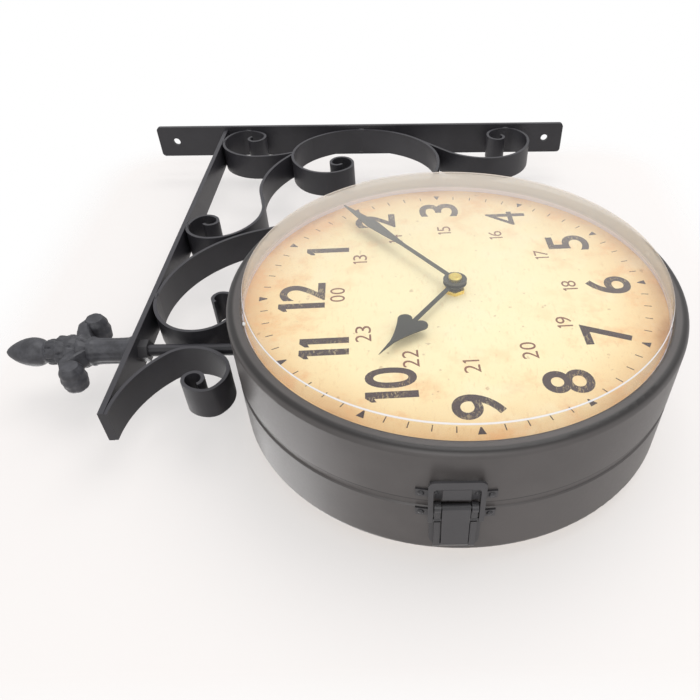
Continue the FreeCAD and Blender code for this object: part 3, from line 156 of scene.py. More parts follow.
class Tree:
    """The nodes of one material."""

    def __init__(self, name: str) -> None:
        """Starts an empty material."""
        self.material = bpy.data.materials.new(name)
        self.material.use_nodes = True
        self.nodes = self.material.node_tree.nodes
        self.links = self.material.node_tree.links
        self.nodes.clear()

    def feed(self, socket: bpy.types.NodeSocket, value: object) -> None:
        """Links a value to an input, or sets the input to a number, colour or vector."""
        if isinstance(value, Value):
            value = value.socket
        if isinstance(value, bpy.types.NodeSocket):
            self.links.new(value, socket)
        elif isinstance(value, tuple) and len(value) == 3 and socket.type == "RGBA":
            socket.default_value = (*value, 1.0)
        else:
            socket.default_value = value

    def raw(self, kind: str, settings: dict, inputs: "dict | list") -> bpy.types.Node:
        """Adds a node.

        Args:
            kind: the node's type.
            settings: its own properties, set first; "stops" gives a ramp's (place, colour) pairs.
            inputs: values, colours or links, by socket name or in order.
        Returns:
            The node.
        """
        made = self.nodes.new(kind)
        for name, value in settings.items():
            if name == "stops":
                ramp = made.color_ramp.elements
                while len(ramp) < len(value):
                    ramp.new(1.0)
                for stop, (place, colour) in zip(ramp, value):
                    stop.position, stop.color = place, (*colour, 1.0)
            else:
                setattr(made, name, value)
        pairs = inputs.items() if isinstance(inputs, dict) else enumerate(inputs)
        for name, value in pairs:
            self.feed(made.inputs[name], value)
        return made

    def node(self, kind: str, settings: dict, inputs: "dict | list",
             output: "int | str" = 0) -> Value:
        """Adds a node as raw does, and returns one of its outputs as a value."""
        return Value(self, self.raw(kind, settings, inputs).outputs[output])

    def place(self) -> Value:
        """The point's place in the frame."""
        return self.node("ShaderNodeTexCoord", {}, {}, "Object")

    def parts(self, vector: Value) -> tuple[Value, Value, Value]:
        """The x, y and z of a vector."""
        made = self.raw("ShaderNodeSeparateXYZ", {}, [vector])
        return tuple(Value(self, socket) for socket in made.outputs)

    def normal(self) -> tuple[Value, Value, Value]:
        """The x, y and z of the surface's normal."""
        return self.parts(self.node("ShaderNodeTexCoord", {}, {}, "Normal"))

    def off_axis(self) -> tuple[Value, Value, Value, Value]:
        """The point's place about the clock's axis.

        Returns:
            Its distance from the axis along x, along z and straight, and its y.
        """
        x, y, z = self.parts(self.place())
        across, up = x - AXIS_X, z - AXIS_Z
        return across, up, (across * across + up * up) ** 0.5, y

    def noise(self, size: float, detail: float = 3.0, rough: float = 0.55,
              stretch: tuple = (1.0, 1.0, 1.0)) -> Value:
        """Noise from 0 to 1.

        Args:
            size: how large its features are, in metres.
            detail: how many finer layers it has.
            rough: how strong the finer layers are.
            stretch: by axis; the features are longer where it is under 1.
        Returns:
            The noise.
        """
        where = self.node("ShaderNodeMapping", {}, {
            "Vector": self.place(), "Scale": tuple(s / size for s in stretch)})
        return self.node("ShaderNodeTexNoise", {"noise_dimensions": "3D"}, {
            "Vector": where, "Scale": 1.0, "Detail": detail, "Roughness": rough})

    def mix(self, factor: Term, first: "Value | Colour",
            second: "Value | Colour") -> Value:
        """A colour between two colours.

        Args:
            factor: 0 for the first to 1 for the second.
            first, second: the two colours.
        Returns:
            The colour.
        """
        made = self.raw("ShaderNodeMix", {"data_type": "RGBA"}, {})
        for name, value in (("Factor_Float", factor), ("A_Color", first), ("B_Color", second)):
            self.feed(next(s for s in made.inputs if s.identifier == name), value)
        return Value(self, next(s for s in made.outputs if s.identifier == "Result_Color"))

    def bump(self, height: Value, strength: float, distance: float) -> Value:
        """A normal that is roughened by a height.

        Args:
            height: the relief, from 0 to 1.
            strength: how much of it shows.
            distance: the relief's full height in metres.
        Returns:
            The normal.
        """
        return self.node("ShaderNodeBump", {}, {
            "Strength": strength, "Distance": distance, "Height": height})

    def surface(self, **sockets: "Value | Number | Colour") -> Material:
        """Ends the material in a Principled shader; a socket's spaces are written as _."""
        shader = self.raw("ShaderNodeBsdfPrincipled", {},
                          {name.replace("_", " "): value for name, value in sockets.items()})
        self.raw("ShaderNodeOutputMaterial", {}, {"Surface": shader.outputs[0]})
        return self.material


# ---- finishes
@dataclass(frozen=True)
class Paint:
    """Satin paint on steel: cloudy colour, fine orange peel, and paler edge faces that are partly
    rubbed paint and partly a painted highlight.

    shaded holds the (y, half width, depth) of bands of painted shadow, and ring the (radius, half
    width, depth) of one band of painted shade round the clock's axis, on the faces that look along
    y.
    Both take the colour shadow.  edge is how much the faces that look along edge_axis are
    lightened, as rubbed paint and painted highlight.
    """

    name: str
    colour: Colour
    rough: float = 0.42
    cloud: float = 0.16
    peel: float = 0.0011
    peel_height: float = 0.00004
    edge: float = 0.0
    edge_axis: int = 1
    shaded: tuple[Triple, ...] = ()
    ring: Triple = (0.0, 0.0, 0.0)
    shadow: Colour = (0.006, 0.005, 0.005)

    def band(self, off: Value, half: float, depth: float) -> Value:
        """How dark a band of painted shade is.

        Args:
            off: the distance from the band's middle.
            half: the half width, where the band ends; it is full up to 0.3 of that.
            depth: how dark it is where it is full.
        Returns:
            The darkness.
        """
        return (1 - off.step(half * 0.3, half)) * depth

    def make(self) -> Material:
        """Builds the material."""
        tree = Tree(self.name)
        cloud = tree.noise(0.035, 4.0)
        grain = tree.noise(self.peel, 2.0)
        dust = tree.noise(0.0026, 3.0, 0.7).step(0.66, 0.78)
        dark = tuple(c * (1 - self.cloud) for c in self.colour)
        light = tuple(c * (1 + self.cloud) for c in self.colour)
        colour = tree.mix(cloud.step(0.3, 0.7), dark, light)
        colour = tree.mix(dust * 0.10, colour, tuple(c + 0.10 for c in self.colour))
        rough = self.rough + (cloud - 0.5) * 0.16 + (grain - 0.5) * 0.10
        # Faces that look along edge_axis are lightened: partly rubbed paint, partly a painted edge
        # highlight.
        if self.edge:
            facing = abs(tree.normal()[self.edge_axis]).step(0.85, 0.97)
            rubbed = facing * (0.55 + tree.noise(0.012, 4.0) * 0.9)
            bare_and_highlight = tuple(c * 3.2 + 0.02 for c in self.colour)
            colour = tree.mix(rubbed * self.edge, colour, bare_and_highlight)
        # A ring of painted shade round the clock's axis, on the faces that look along y.
        if self.ring[2]:
            middle, half, depth = self.ring
            level = abs(tree.normal()[1]).step(0.35, 0.75)
            band = self.band(abs(tree.off_axis()[2] - middle), half, depth)
            colour = tree.mix(band * level, colour, self.shadow)
        # Bands of painted shadow across y, such as the shadow in the gap of the seam.
        for middle, half, depth in self.shaded:
            y = tree.parts(tree.place())[1]
            colour = tree.mix(self.band(abs(y - middle), half, depth), colour, self.shadow)
        return tree.surface(
            Base_Color=colour, Roughness=rough,
            Normal=tree.bump(grain, 0.5, self.peel_height))


@dataclass(frozen=True)
class CastPaint:
    """Paint over a rough casting: coarse pitted bump, with grey where it is rubbed."""

    name: str
    colour: Colour
    rubbed: Colour
    grain: float = 0.0016

    def make(self) -> Material:
        """Builds the material."""
        tree = Tree(self.name)
        coarse = tree.noise(self.grain * 4, 3.0, 0.5)
        fine = tree.noise(self.grain, 3.0, 0.6)
        colour = tree.mix((coarse * 0.7 + fine * 0.3).step(0.3, 0.75), self.colour, self.rubbed)
        return tree.surface(
            Base_Color=colour, Roughness=0.46 + (fine - 0.5) * 0.2,
            Normal=tree.bump(coarse * 0.5 + fine * 0.5, 0.5, 0.0003))


@dataclass(frozen=True)
class ClearPlastic:
    """Clear moulded plastic: near invisible face on, whiter at a glancing angle as a painted
    reflection, and with a painted highlight along its front edge that glows a little.
    """

    name: str
    front: float
    far_wall_reflection: Colour = shade(214, 210, 207)
    bright: Colour = shade(246, 246, 250)
    haze_and_reflection: Colour = shade(252, 250, 246)
    rim_radius: float = 0.1090
    rim_width: float = 0.00028
    inner_opacity: float = 0.60
    veil: float = 0.11

    def make(self) -> Material:
        """Builds the material.

        The moulded front edge carries a painted highlight.  A wall whose normal looks to the axis
        is the far wall, which is painted grey as the room's reflection and so hides what is behind
        it.
        """
        tree = Tree(self.name)
        across, up, radius, y = tree.off_axis()
        at_front = 1 - abs(y - self.front).step(0.0009, 0.0017)
        off_rim = abs(radius - self.rim_radius).step(self.rim_width * 0.5, self.rim_width)
        # A painted highlight along the moulded front edge, which also glows a little through
        # Emission.
        rim_highlight = (1 - off_rim) * at_front
        normal = tree.normal()
        # The far wall, seen from inside, is painted grey and mostly opaque: a painted reflection of
        # the room.
        inward = ((normal[0] * across + normal[2] * up) / radius * -1.0).step(0.3, 0.7)
        # Whiter and less clear at a glancing angle: a painted reflection.
        glance = tree.node("ShaderNodeLayerWeight", {}, {"Blend": 0.5}, "Facing") ** 3.0
        haze = tree.noise(0.05, 3.0) * 0.02
        veil = across.step(-0.06, 0.11) * self.veil * (0.7 + tree.noise(0.06, 2.0) * 0.6)
        opacity = 0.01 + glance * 0.35 + haze + veil
        return tree.surface(
            Base_Color=tree.mix(rim_highlight, tree.mix(inward, self.haze_and_reflection, self.far_wall_reflection), self.bright),
            Roughness=0.09, IOR=1.49,
            Emission_Color=tree.mix(rim_highlight, (0.0, 0.0, 0.0), self.bright), Emission_Strength=0.1,
            Alpha=opacity.most(rim_highlight * 0.9).most(inward * self.inner_opacity))


@dataclass(frozen=True)
class AgedDial:
    """A printed parchment dial: cream in the middle, foxed and browned towards its edge."""

    name: str
    radius: float = 0.113

    def make(self) -> Material:
        """Builds the material from the distance to the clock's axis and layers of noise."""
        tree = Tree(self.name)
        radius = tree.off_axis()[2] / self.radius
        cloud = tree.noise(0.045, 5.0, 0.6)
        blotch = tree.noise(0.016, 4.0, 0.6)
        fibre = tree.noise(0.0016, 3.0, 0.7, (0.35, 1.0, 1.0))
        worn = radius + (cloud - 0.5) * 0.26
        base = tree.node("ShaderNodeValToRGB", {"stops": (
            (0.0, shade(255, 243, 200)), (0.42, shade(254, 241, 197)),
            (0.68, shade(253, 236, 188)), (0.84, shade(248, 220, 168)),
            (0.95, shade(234, 194, 142)), (1.0, shade(206, 156, 106)))}, [worn])
        foxed = blotch.step(0.48, 0.72) * radius.step(0.15, 0.95)
        colour = tree.mix(foxed * 0.7, base, shade(240, 184, 128))
        pale = tree.noise(0.028, 4.0, 0.6).step(0.5, 0.72)
        colour = tree.mix(pale * 0.3, colour, shade(255, 246, 214))
        colour = tree.mix(fibre.step(0.54, 0.75) * 0.25, colour, shade(214, 160, 104))
        specks = tree.noise(0.0042, 2.0, 0.5).step(0.70, 0.76)
        colour = tree.mix(specks * 0.35, colour, shade(150, 96, 66))
        return tree.surface(Base_Color=colour, Roughness=0.62 + fibre * 0.1,
                            Normal=tree.bump(fibre, 0.2, 0.00003))


@dataclass(frozen=True)
class WornInk:
    """Old print: dark ink that is scratched through in streaks and flakes."""

    name: str
    colour: Colour
    faded: Colour
    loss: float = 0.55

    def make(self) -> Material:
        """Builds the material: bare streaks let the dial show through."""
        tree = Tree(self.name)
        cloud = tree.noise(0.02, 3.0)
        flakes = tree.noise(0.0011, 4.0, 0.7, (0.4, 1.0, 1.2))
        patch = tree.noise(0.012, 3.0).step(0.38, 0.62)
        gone = flakes.step(0.50, 0.58) * patch
        return tree.surface(
            Base_Color=tree.mix(cloud, self.colour, self.faded), Roughness=0.6,
            Alpha=1 - gone * self.loss)


@dataclass(frozen=True)
class Metal:
    """Bare metal with fine turning marks and a little tarnish."""

    name: str
    colour: Colour
    tarnish: Colour
    rough: float = 0.24

    def make(self) -> Material:
        """Builds the material."""
        tree = Tree(self.name)
        stain = tree.noise(0.004, 4.0)
        marks = tree.noise(0.0004, 2.0, 0.5, (1.0, 0.2, 1.0))
        return tree.surface(
            Base_Color=tree.mix(stain.step(0.45, 0.75), self.colour, self.tarnish), Metallic=1.0,
            Roughness=self.rough + (stain - 0.5) * 0.2 + (marks - 0.5) * 0.12,
            Normal=tree.bump(marks, 0.25, 0.00002))


@dataclass(frozen=True)
class Moulding:
    """Plain moulded plastic with a fine spark-eroded grain."""

    name: str
    colour: Colour
    rough: float = 0.5

    def make(self) -> Material:
        """Builds the material."""
        tree = Tree(self.name)
        grain = tree.noise(0.0005, 2.0)
        cloud = tree.noise(0.02, 3.0)
        light = tuple(c * 1.12 + 0.002 for c in self.colour)
        return tree.surface(
            Base_Color=tree.mix(cloud, self.colour, light),
            Roughness=self.rough + (cloud - 0.5) * 0.12, Normal=tree.bump(grain, 0.3, 0.00003))


@dataclass(frozen=True)
class CellWrap:
    """The plain printed sleeve of a dry cell: dark with one paler end band."""

    name: str
    split_x: float
    body: Colour = shade(38, 44, 52)
    band: Colour = shade(176, 124, 62)

    def make(self) -> Material:
        """Builds the material, banded along x."""
        tree = Tree(self.name)
        x = tree.parts(tree.place())[0]
        side = (x - self.split_x).step(-0.0002, 0.0002)
        scuff = tree.noise(0.003, 3.0).step(0.6, 0.75) * 0.2
        colour = tree.mix(scuff, tree.mix(side, self.body, self.band), shade(150, 150, 150))
        return tree.surface(Base_Color=colour, Roughness=0.3 + scuff)


# ---- meshes
def put(name: str, data: bpy.types.ID) -> bpy.types.Object:
    """Adds an object to the scene.

    Args:
        name: its name.
        data: its mesh, curve, lamp or camera.
    Returns:
        The object.
    """
    made = bpy.data.objects.new(name, data)
    bpy.context.scene.collection.objects.link(made)
    return made


def turns(count: int) -> Points:
    """The angles of a whole turn in equal steps, the first 0 and the last short of 2 pi."""
    return np.linspace(0, 2 * np.pi, count, endpoint=False)


@dataclass
class Shape:
    """Vertices and faces that can be gathered into one piece."""

    points: Points = field(default_factory=lambda: np.zeros((0, 3)))
    faces: list = field(default_factory=list)

    def add(self, other: "Shape") -> "Shape":
        """Takes in another shape."""
        shift = len(self.points)
        self.faces += [tuple(int(i) + shift for i in face) for face in other.faces]
        self.points = np.vstack([self.points, other.points])
        return self

    def moved(self, matrix: Points, origin: Points) -> "Shape":
        """This shape turned and then moved.

        Args:
            matrix: the turn; its columns are where x, y and z come to lie.
            origin: the point that the shape's origin comes to.
        Returns:
            The new shape.
        """
        return Shape(self.points @ np.asarray(matrix, float).T + np.asarray(origin, float),
                     list(self.faces))

    def at(self, x: float, y: float, z: float) -> "Shape":
        """This shape moved to a point, without a turn."""
        return self.moved(np.eye(3), (x, y, z))

    def piece(self, name: str, body: str, material: Material, slot: str,
              smooth: bool = True) -> bpy.types.Object:
        """Welds the shape, turns its faces outwards and makes it a piece on a body.

        Args:
            name: the piece's name.
            body: the body that it rides on.
            material: its finish.
            slot: the record's material slot; it is not used.
            smooth: shades it smooth, except over sharp edges.
        Returns:
            The object.
        """
        mesh = bpy.data.meshes.new(name)
        mesh.from_pydata(self.points.tolist(), [], self.faces)
        work = bmesh.new()
        work.from_mesh(mesh)
        bmesh.ops.remove_doubles(work, verts=work.verts, dist=1e-7)
        bmesh.ops.recalc_face_normals(work, faces=work.faces)
        work.to_mesh(mesh)
        work.free()
        if smooth:
            mesh.shade_smooth()
            mesh.set_sharp_from_angle(angle=math.radians(38))
        mesh.materials.append(material)
        made = put(name, mesh)
        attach(made, body)
        LOG.info("%s: %d faces on %s", name, len(mesh.polygons), body)
        return made


def grid(points: Points) -> Shape:
    """Quads over a grid of points, whose last column is joined to its first.

    Args:
        points: an array of rows by columns by 3.
    Returns:
        The surface.
    """
    rows, columns = points.shape[:2]
    index = np.arange(rows * columns).reshape(rows, columns)
    index = np.hstack([index, index[:, :1]])
    quads = np.stack([index[:-1, :-1], index[1:, :-1], index[1:, 1:], index[:-1, 1:]], -1)
    return Shape(points.reshape(-1, 3), [tuple(q) for q in quads.reshape(-1, 4).tolist()])


def lathe(radii: Points, heights: Points, around: int) -> Shape:
    """A profile turned round +Z: a point is (radius cos, radius sin, height).

    Args:
        radii: the profile's radii, or an array of profile by angle where they change round it.
        heights: the profile's heights.
        around: the number of columns.
    Returns:
        The surface; a radius of 0 at an end closes it.
    """
    angle = turns(around)
    radii = np.asarray(radii, float)
    if radii.ndim == 1:
        radii = np.repeat(radii[:, None], around, axis=1)
    tall = np.repeat(np.asarray(heights, float)[:, None], around, axis=1)
    return grid(np.stack([radii * np.cos(angle), radii * np.sin(angle), tall], -1))


def dome(radius: float, height: float) -> Shape:
    """A rivet head on z = 0: half an ellipse turned, with a short sunk shank below.

    Args:
        radius: the head's radius.
        height: how high it stands.
    Returns:
        The head.
    """
    sunk = -0.0003
    turn = np.linspace(0, np.pi / 2, 7)
    radii = np.r_[0.0, radius, radius * np.cos(turn)]
    heights = np.r_[sunk, sunk, height * np.sin(turn)]
    return lathe(radii, heights, 20)


def bead(size: Triple) -> Shape:
    """A small ellipsoid: half axes times (sin u cos v, sin u sin v, cos u), roughened a little.

    Args:
        size: the half axes along x, y and z.
    Returns:
        The bead.
    """
    u, v = np.meshgrid(np.linspace(0, np.pi, 9), turns(16), indexing="ij")
    lump = 1 + 0.08 * np.sin(3 * v + 1.7) * np.sin(2 * u)
    points = np.stack([np.sin(u) * np.cos(v), np.sin(u) * np.sin(v), np.cos(u)], -1)
    return grid(points * lump[..., None] * np.array(size))


def frame_on(normal: tuple, along: tuple = (0.0, 1.0, 0.0)) -> Points:
    """A turn that lays z on a direction.

    Args:
        normal: the direction, the turn's third column once its length is 1.
        along: the direction that the first column lies near.
    Returns:
        The turn, 3 by 3.
    """
    third = np.asarray(normal, float)
    third = third / np.linalg.norm(third)
    second = np.cross(third, np.asarray(along, float))
    second /= np.linalg.norm(second)
    return np.stack([np.cross(second, third), second, third], 1)


def stand(turn: Points, where: Points) -> Matrix:
    """The matrix of an object with this turn, at this place."""
    return Matrix([(*turn[i], where[i]) for i in range(3)] + [(0, 0, 0, 1)])


# ---- sub-assemblies
class Side(Enum):
    """The two faces of the clock: facing, body, dial_y and bezel_y, as the properties say."""

    FRONT = (-1.0, "door", -0.0388, -0.0446)
    BACK = (1.0, "bracket", 0.0192, 0.0250)

    @property
    def facing(self) -> float:
        """The sign of y that the face looks along."""
        return self.value[0]

    @property
    def body(self) -> str:
        """The body that carries the dial."""
        return self.value[1]

    @property
    def dial_y(self) -> float:
        """The dial's printed face."""
        return self.value[2]

    @property
    def bezel_y(self) -> float:
        """The flat front of the case."""
        return self.value[3]

    @property
    def label(self) -> str:
        """The word that the side's nodes start with."""
        return self.name.lower()

    def lay(self, flat: Points) -> Points:
        """Puts drawing points (right, up, out) on the dial, turned as the print is.

        Right runs along -facing x, up along z and out along the facing, so nothing is mirrored.

        Args:
            flat: the points, an array of rows of 3.
        Returns:
            The same points in the frame.
        """
        cosine, sine = math.cos(PRINT_TURN), math.sin(PRINT_TURN)
        right = flat[:, 0] * cosine + flat[:, 1] * sine
        up = flat[:, 1] * cosine - flat[:, 0] * sine
        return np.stack([AXIS_X - self.facing * right,
                         np.full(len(flat), self.dial_y) + self.facing * flat[:, 2],
                         AXIS_Z + up], 1)


@dataclass(frozen=True)
class Lettering:
    """The sizes of one ring of figures.

    one, zero and plain are the widths of a 1, a 0 and any other figure, stroke is the width of the
    1's bar, and weight is how much the other strokes are thickened, as a share of the height.
    """

    height: float
    gap: float
    weight: float
    one: float
    zero: float
    plain: float
    stroke: float

    def width(self, letter: str) -> float:
        """The width of a figure."""
        return {"1": self.one, "0": self.zero}.get(letter, self.plain)


@dataclass
class DialPrint:
    """The print of one dial: hour numerals, the inner ring of 24-hour numerals, and the marks.

    hours and inner hold each word's (text, radius in millimetres, degrees from the top), and a
    mark's sizes are its half width and radius at the inner end, then at the outer end.
    """

    side: Side
    thick: float = 0.00008
    sunk: float = 0.00002
    minute_mark: tuple[float, float, float, float] = (0.00024, 0.0981, 0.00024, 0.1018)
    hour_mark: tuple[float, float, float, float] = (0.0003, 0.0986, 0.0019, 0.1028)
    hour_style: Lettering = Lettering(
        height=0.0240, gap=0.0022, weight=0.012, one=0.0064, zero=0.0138, plain=0.0155,
        stroke=0.0043)
    inner_style: Lettering = Lettering(
        height=0.0078, gap=0.0013, weight=-0.004, one=0.0021, zero=0.0054, plain=0.0054,
        stroke=0.0010)
    hours: Words = (
        ("12", 80.4, 0.1), ("1", 80.3, 32.4), ("2", 84.7, 61.9), ("3", 85.1, 89.8),
        ("4", 82.6, 118.8), ("5", 82.2, 149.3), ("6", 82.6, 180.8), ("7", 81.5, 210.2),
        ("8", 85.6, 239.3), ("9", 86.4, 269.5), ("10", 78.6, 297.9), ("11", 79.9, 328.2))
    inner: Words = (
        ("00", 61.9, 0.7), ("13", 59.9, 34.1), ("14", 61.0, 62.0), ("15", 61.0, 90.7),
        ("16", 61.5, 119.6), ("17", 61.2, 149.9), ("18", 61.6, 180.1), ("19", 60.1, 210.9),
        ("20", 59.1, 239.6), ("21", 60.2, 268.8), ("22", 59.2, 297.0), ("23", 58.9, 326.2))

    def prism(self, flat: list[tuple[float, float]]) -> Shape:
        """A thin solid that is sunk a little below z = 0.

        Args:
            flat: its outline's corners, right and up.
        Returns:
            The solid.
        """
        count = len(flat)
        points = [(x, y, z) for z in (-self.sunk, self.thick - self.sunk) for x, y in flat]
        sides = [(i, (i + 1) % count, (i + 1) % count + count, i + count) for i in range(count)]
        return Shape(np.array(points),
                     [tuple(range(count)), tuple(range(count, 2 * count)), *sides])

    def one(self, width: float, height: float, stroke: float) -> Shape:
        """The figure 1: an upright bar with a short flag at its upper left.

        Args:
            width: the width of bar and flag.
            height: the bar's height.
            stroke: the bar's width.
        Returns:
            The figure about its middle.
        """
        right, top = width / 2, height / 2
        bar = right - stroke
        return self.prism([
            (right, top), (bar + 0.12 * stroke, top), (-right, top - 0.115 * height),
            (-right, top - 0.205 * height), (bar, top - 0.165 * height), (bar, -top),
            (right, -top)])

    def glyph(self, text: str, width: float, height: float, weight: float) -> Shape:
        """One character, scaled to a width and height about its middle.

        Args:
            text: the character.
            width: the width it fills.
            height: the height it fills.
            weight: how much its strokes are thickened, as a share of the height.
        Returns:
            A thin solid on z = 0.
        """
        curve = bpy.data.curves.new("glyph", "FONT")
        curve.body, curve.size, curve.offset = text, 1.0, weight
        curve.extrude, curve.resolution_u = 0.01, 6
        holder = put("glyph", curve)
        bpy.context.view_layer.update()
        mesh = bpy.data.meshes.new_from_object(
            holder.evaluated_get(bpy.context.evaluated_depsgraph_get()))
        points = np.array([v.co for v in mesh.vertices])
        faces = [tuple(p.vertices) for p in mesh.polygons]
        bpy.data.objects.remove(holder)
        bpy.data.meshes.remove(mesh)
        bpy.data.curves.remove(curve)
        low, high = points.min(0), points.max(0)
        size = np.array([width, height, self.thick]) / (high - low)
        return Shape((points - (low + high) / 2) * size + [0, 0, self.thick / 2 - self.sunk], faces)

    def word(self, text: str, style: Lettering) -> Shape:
        """A row of figures about the middle; a 4 isn't thickened.

        Args:
            text: the figures.
            style: their sizes.
        Returns:
            The row.
        """
        sizes = [style.width(letter) for letter in text]
        cursor = -(sum(sizes) + style.gap * (len(text) - 1)) / 2
        row = Shape()
        for letter, size in zip(text, sizes):
            weight = 0.0 if letter == "4" else style.weight
            made = (self.one(size, style.height, style.stroke) if letter == "1"
                    else self.glyph(letter, size, style.height, weight))
            row.add(made.at(cursor + size / 2, 0, 0))
            cursor += size + style.gap
        return row

    def ring(self, words: Words, style: Lettering) -> Shape:
        """Upright words round the middle.

        Args:
            words: each word with its radius in millimetres and its degrees from the top.
            style: the sizes of their figures.
        Returns:
            All the words.
        """
        made = Shape()
        for text, radius, degrees in words:
            angle, reach = math.radians(degrees), radius / 1000
            made.add(self.word(text, style).at(
                reach * math.sin(angle), reach * math.cos(angle), 0))
        return made

    def marks(self) -> Shape:
        """Sixty marks: thin strokes, and at each hour a wedge that narrows inwards.

        Each is a prism turned round the dial in steps of 6 degrees.
        """
        made = Shape()
        for index in range(60):
            inner, start, outer, end = self.minute_mark if index % 5 else self.hour_mark
            mark = self.prism([(-inner, start), (inner, start), (outer, end), (-outer, end)])
            angle = math.radians(6 * index)
            cosine, sine = math.cos(angle), math.sin(angle)
            made.add(mark.moved([[cosine, sine, 0], [-sine, cosine, 0], [0, 0, 1]], (0, 0, 0)))
        return made

    def build(self, inks: dict[str, Material]) -> None:
        """Makes the three printed pieces of this dial."""
        print_pieces = (
            ("hour_numerals", self.ring(self.hours, self.hour_style), "dark"),
            ("inner_numerals", self.ring(self.inner, self.inner_style), "brown"),
            ("minute_marks", self.marks(), "dark"))
        for name, shape, ink in print_pieces:
            shape.points = self.side.lay(shape.points)
            shape.piece(f"{self.side.label}_{name}", self.side.body, inks[ink], "dial_print",
                        smooth=False)


@dataclass
class LensNubs:
    """Small clear moulded nubs at the foot of one lens."""

    side: Side
    radius: float = 0.1102
    angles: tuple[float, ...] = (40.0, 168.0, 342.0)
    size: Triple = (0.0008, 0.0013, 0.0010)
    off_bezel: float = 0.0004

    def build(self, material: Material) -> None:
        """Makes the nubs as ellipsoids half sunk in the lens wall."""
        made = Shape()
        for angle in np.radians(self.angles):
            spoke = (-self.side.facing * math.sin(angle), 0.0, math.cos(angle))
            where = (AXIS_X + spoke[0] * self.radius,
                     self.side.bezel_y + self.side.facing * self.off_bezel,
                     AXIS_Z + spoke[2] * self.radius)
            turn = np.stack([np.array(spoke), np.cross(spoke, (0, 1, 0)), (0, 1, 0)], 1)
            made.add(bead(self.size).moved(turn, where))
        made.piece(f"{self.side.label}_lens_nubs", self.side.body, material, "clear_plastic")


@dataclass
class LatchRivets:
    """The domed rivets that hold the catch to the door and the latch base to the case."""

    sheet: float = 0.0009
    ear_out: float = 0.0149
    ear_set: float = 0.0066
    catch_out: float = 0.0088
    catch_set: float = 0.0080
    ear_radius: float = 0.0015
    catch_radius: float = 0.0012
    height_share: float = 0.55

    def head(self, along: float, y: float, radius: float) -> Shape:
        """One head on the plate, its axis square to the case wall.

        Args:
            along: how far it lies above the latch's middle.
            y: how far it lies from the seam along y.
            radius: its radius.
        Returns:
            The head in the frame.
        """
        angle = math.asin((along + LATCH_RISE) / CASE_RADIUS)
        normal = (-math.cos(angle), 0.0, math.sin(angle))
        reach = CASE_RADIUS + self.sheet
        where = (AXIS_X + normal[0] * reach, SEAM_Y + y, AXIS_Z + normal[2] * reach)
        return dome(radius, radius * self.height_share).moved(frame_on(normal), where)

    def build(self, material: Material) -> None:
        """Makes the heads on each of the two bodies."""
        door, fixed = Shape(), Shape()
        for sign in (-1, 1):
            door.add(self.head(sign * self.ear_out, -self.ear_set, self.ear_radius))
            door.add(self.head(sign * self.catch_out, -self.catch_set, self.catch_radius))
            fixed.add(self.head(sign * self.ear_out, self.ear_set, self.ear_radius))
        door.piece("catch_rivets", "door", material, "latch_black")
        fixed.piece("base_rivets", "bracket", material, "latch_black")


@dataclass
class WeldBeads:
    """The small weld beads where the scrolls touch the wall strip and the arm."""

    half_width: float = 0.0095
    on_wall: tuple[float, ...] = (0.0968, -0.0003, -0.1247)
    on_arm: tuple[float, ...] = (-0.0242, -0.1613, -0.2422)
    arm_under: float = 0.114
    wall_face: float = -0.0036
    across: float = 0.0013
    deep: float = 0.0012
    long: float = 0.0034
    edge_sunk: float = 0.0004
    arm_sunk: float = 0.0006

    def build(self, material: Material) -> None:
        """Makes a bead at both edges of the strip at each touching point."""
        made = Shape()
        for sign in (-1, 1):
            y = sign * (self.half_width - self.edge_sunk)
            for z in self.on_wall:
                made.add(bead((self.across, self.deep, self.long)).at(self.wall_face, y, z))
            for x in self.on_arm:
                made.add(bead((self.long, self.deep, self.across)).at(
                    x, y, self.arm_under - self.arm_sunk))
        made.piece("weld_beads", "bracket", material, "bracket_black")


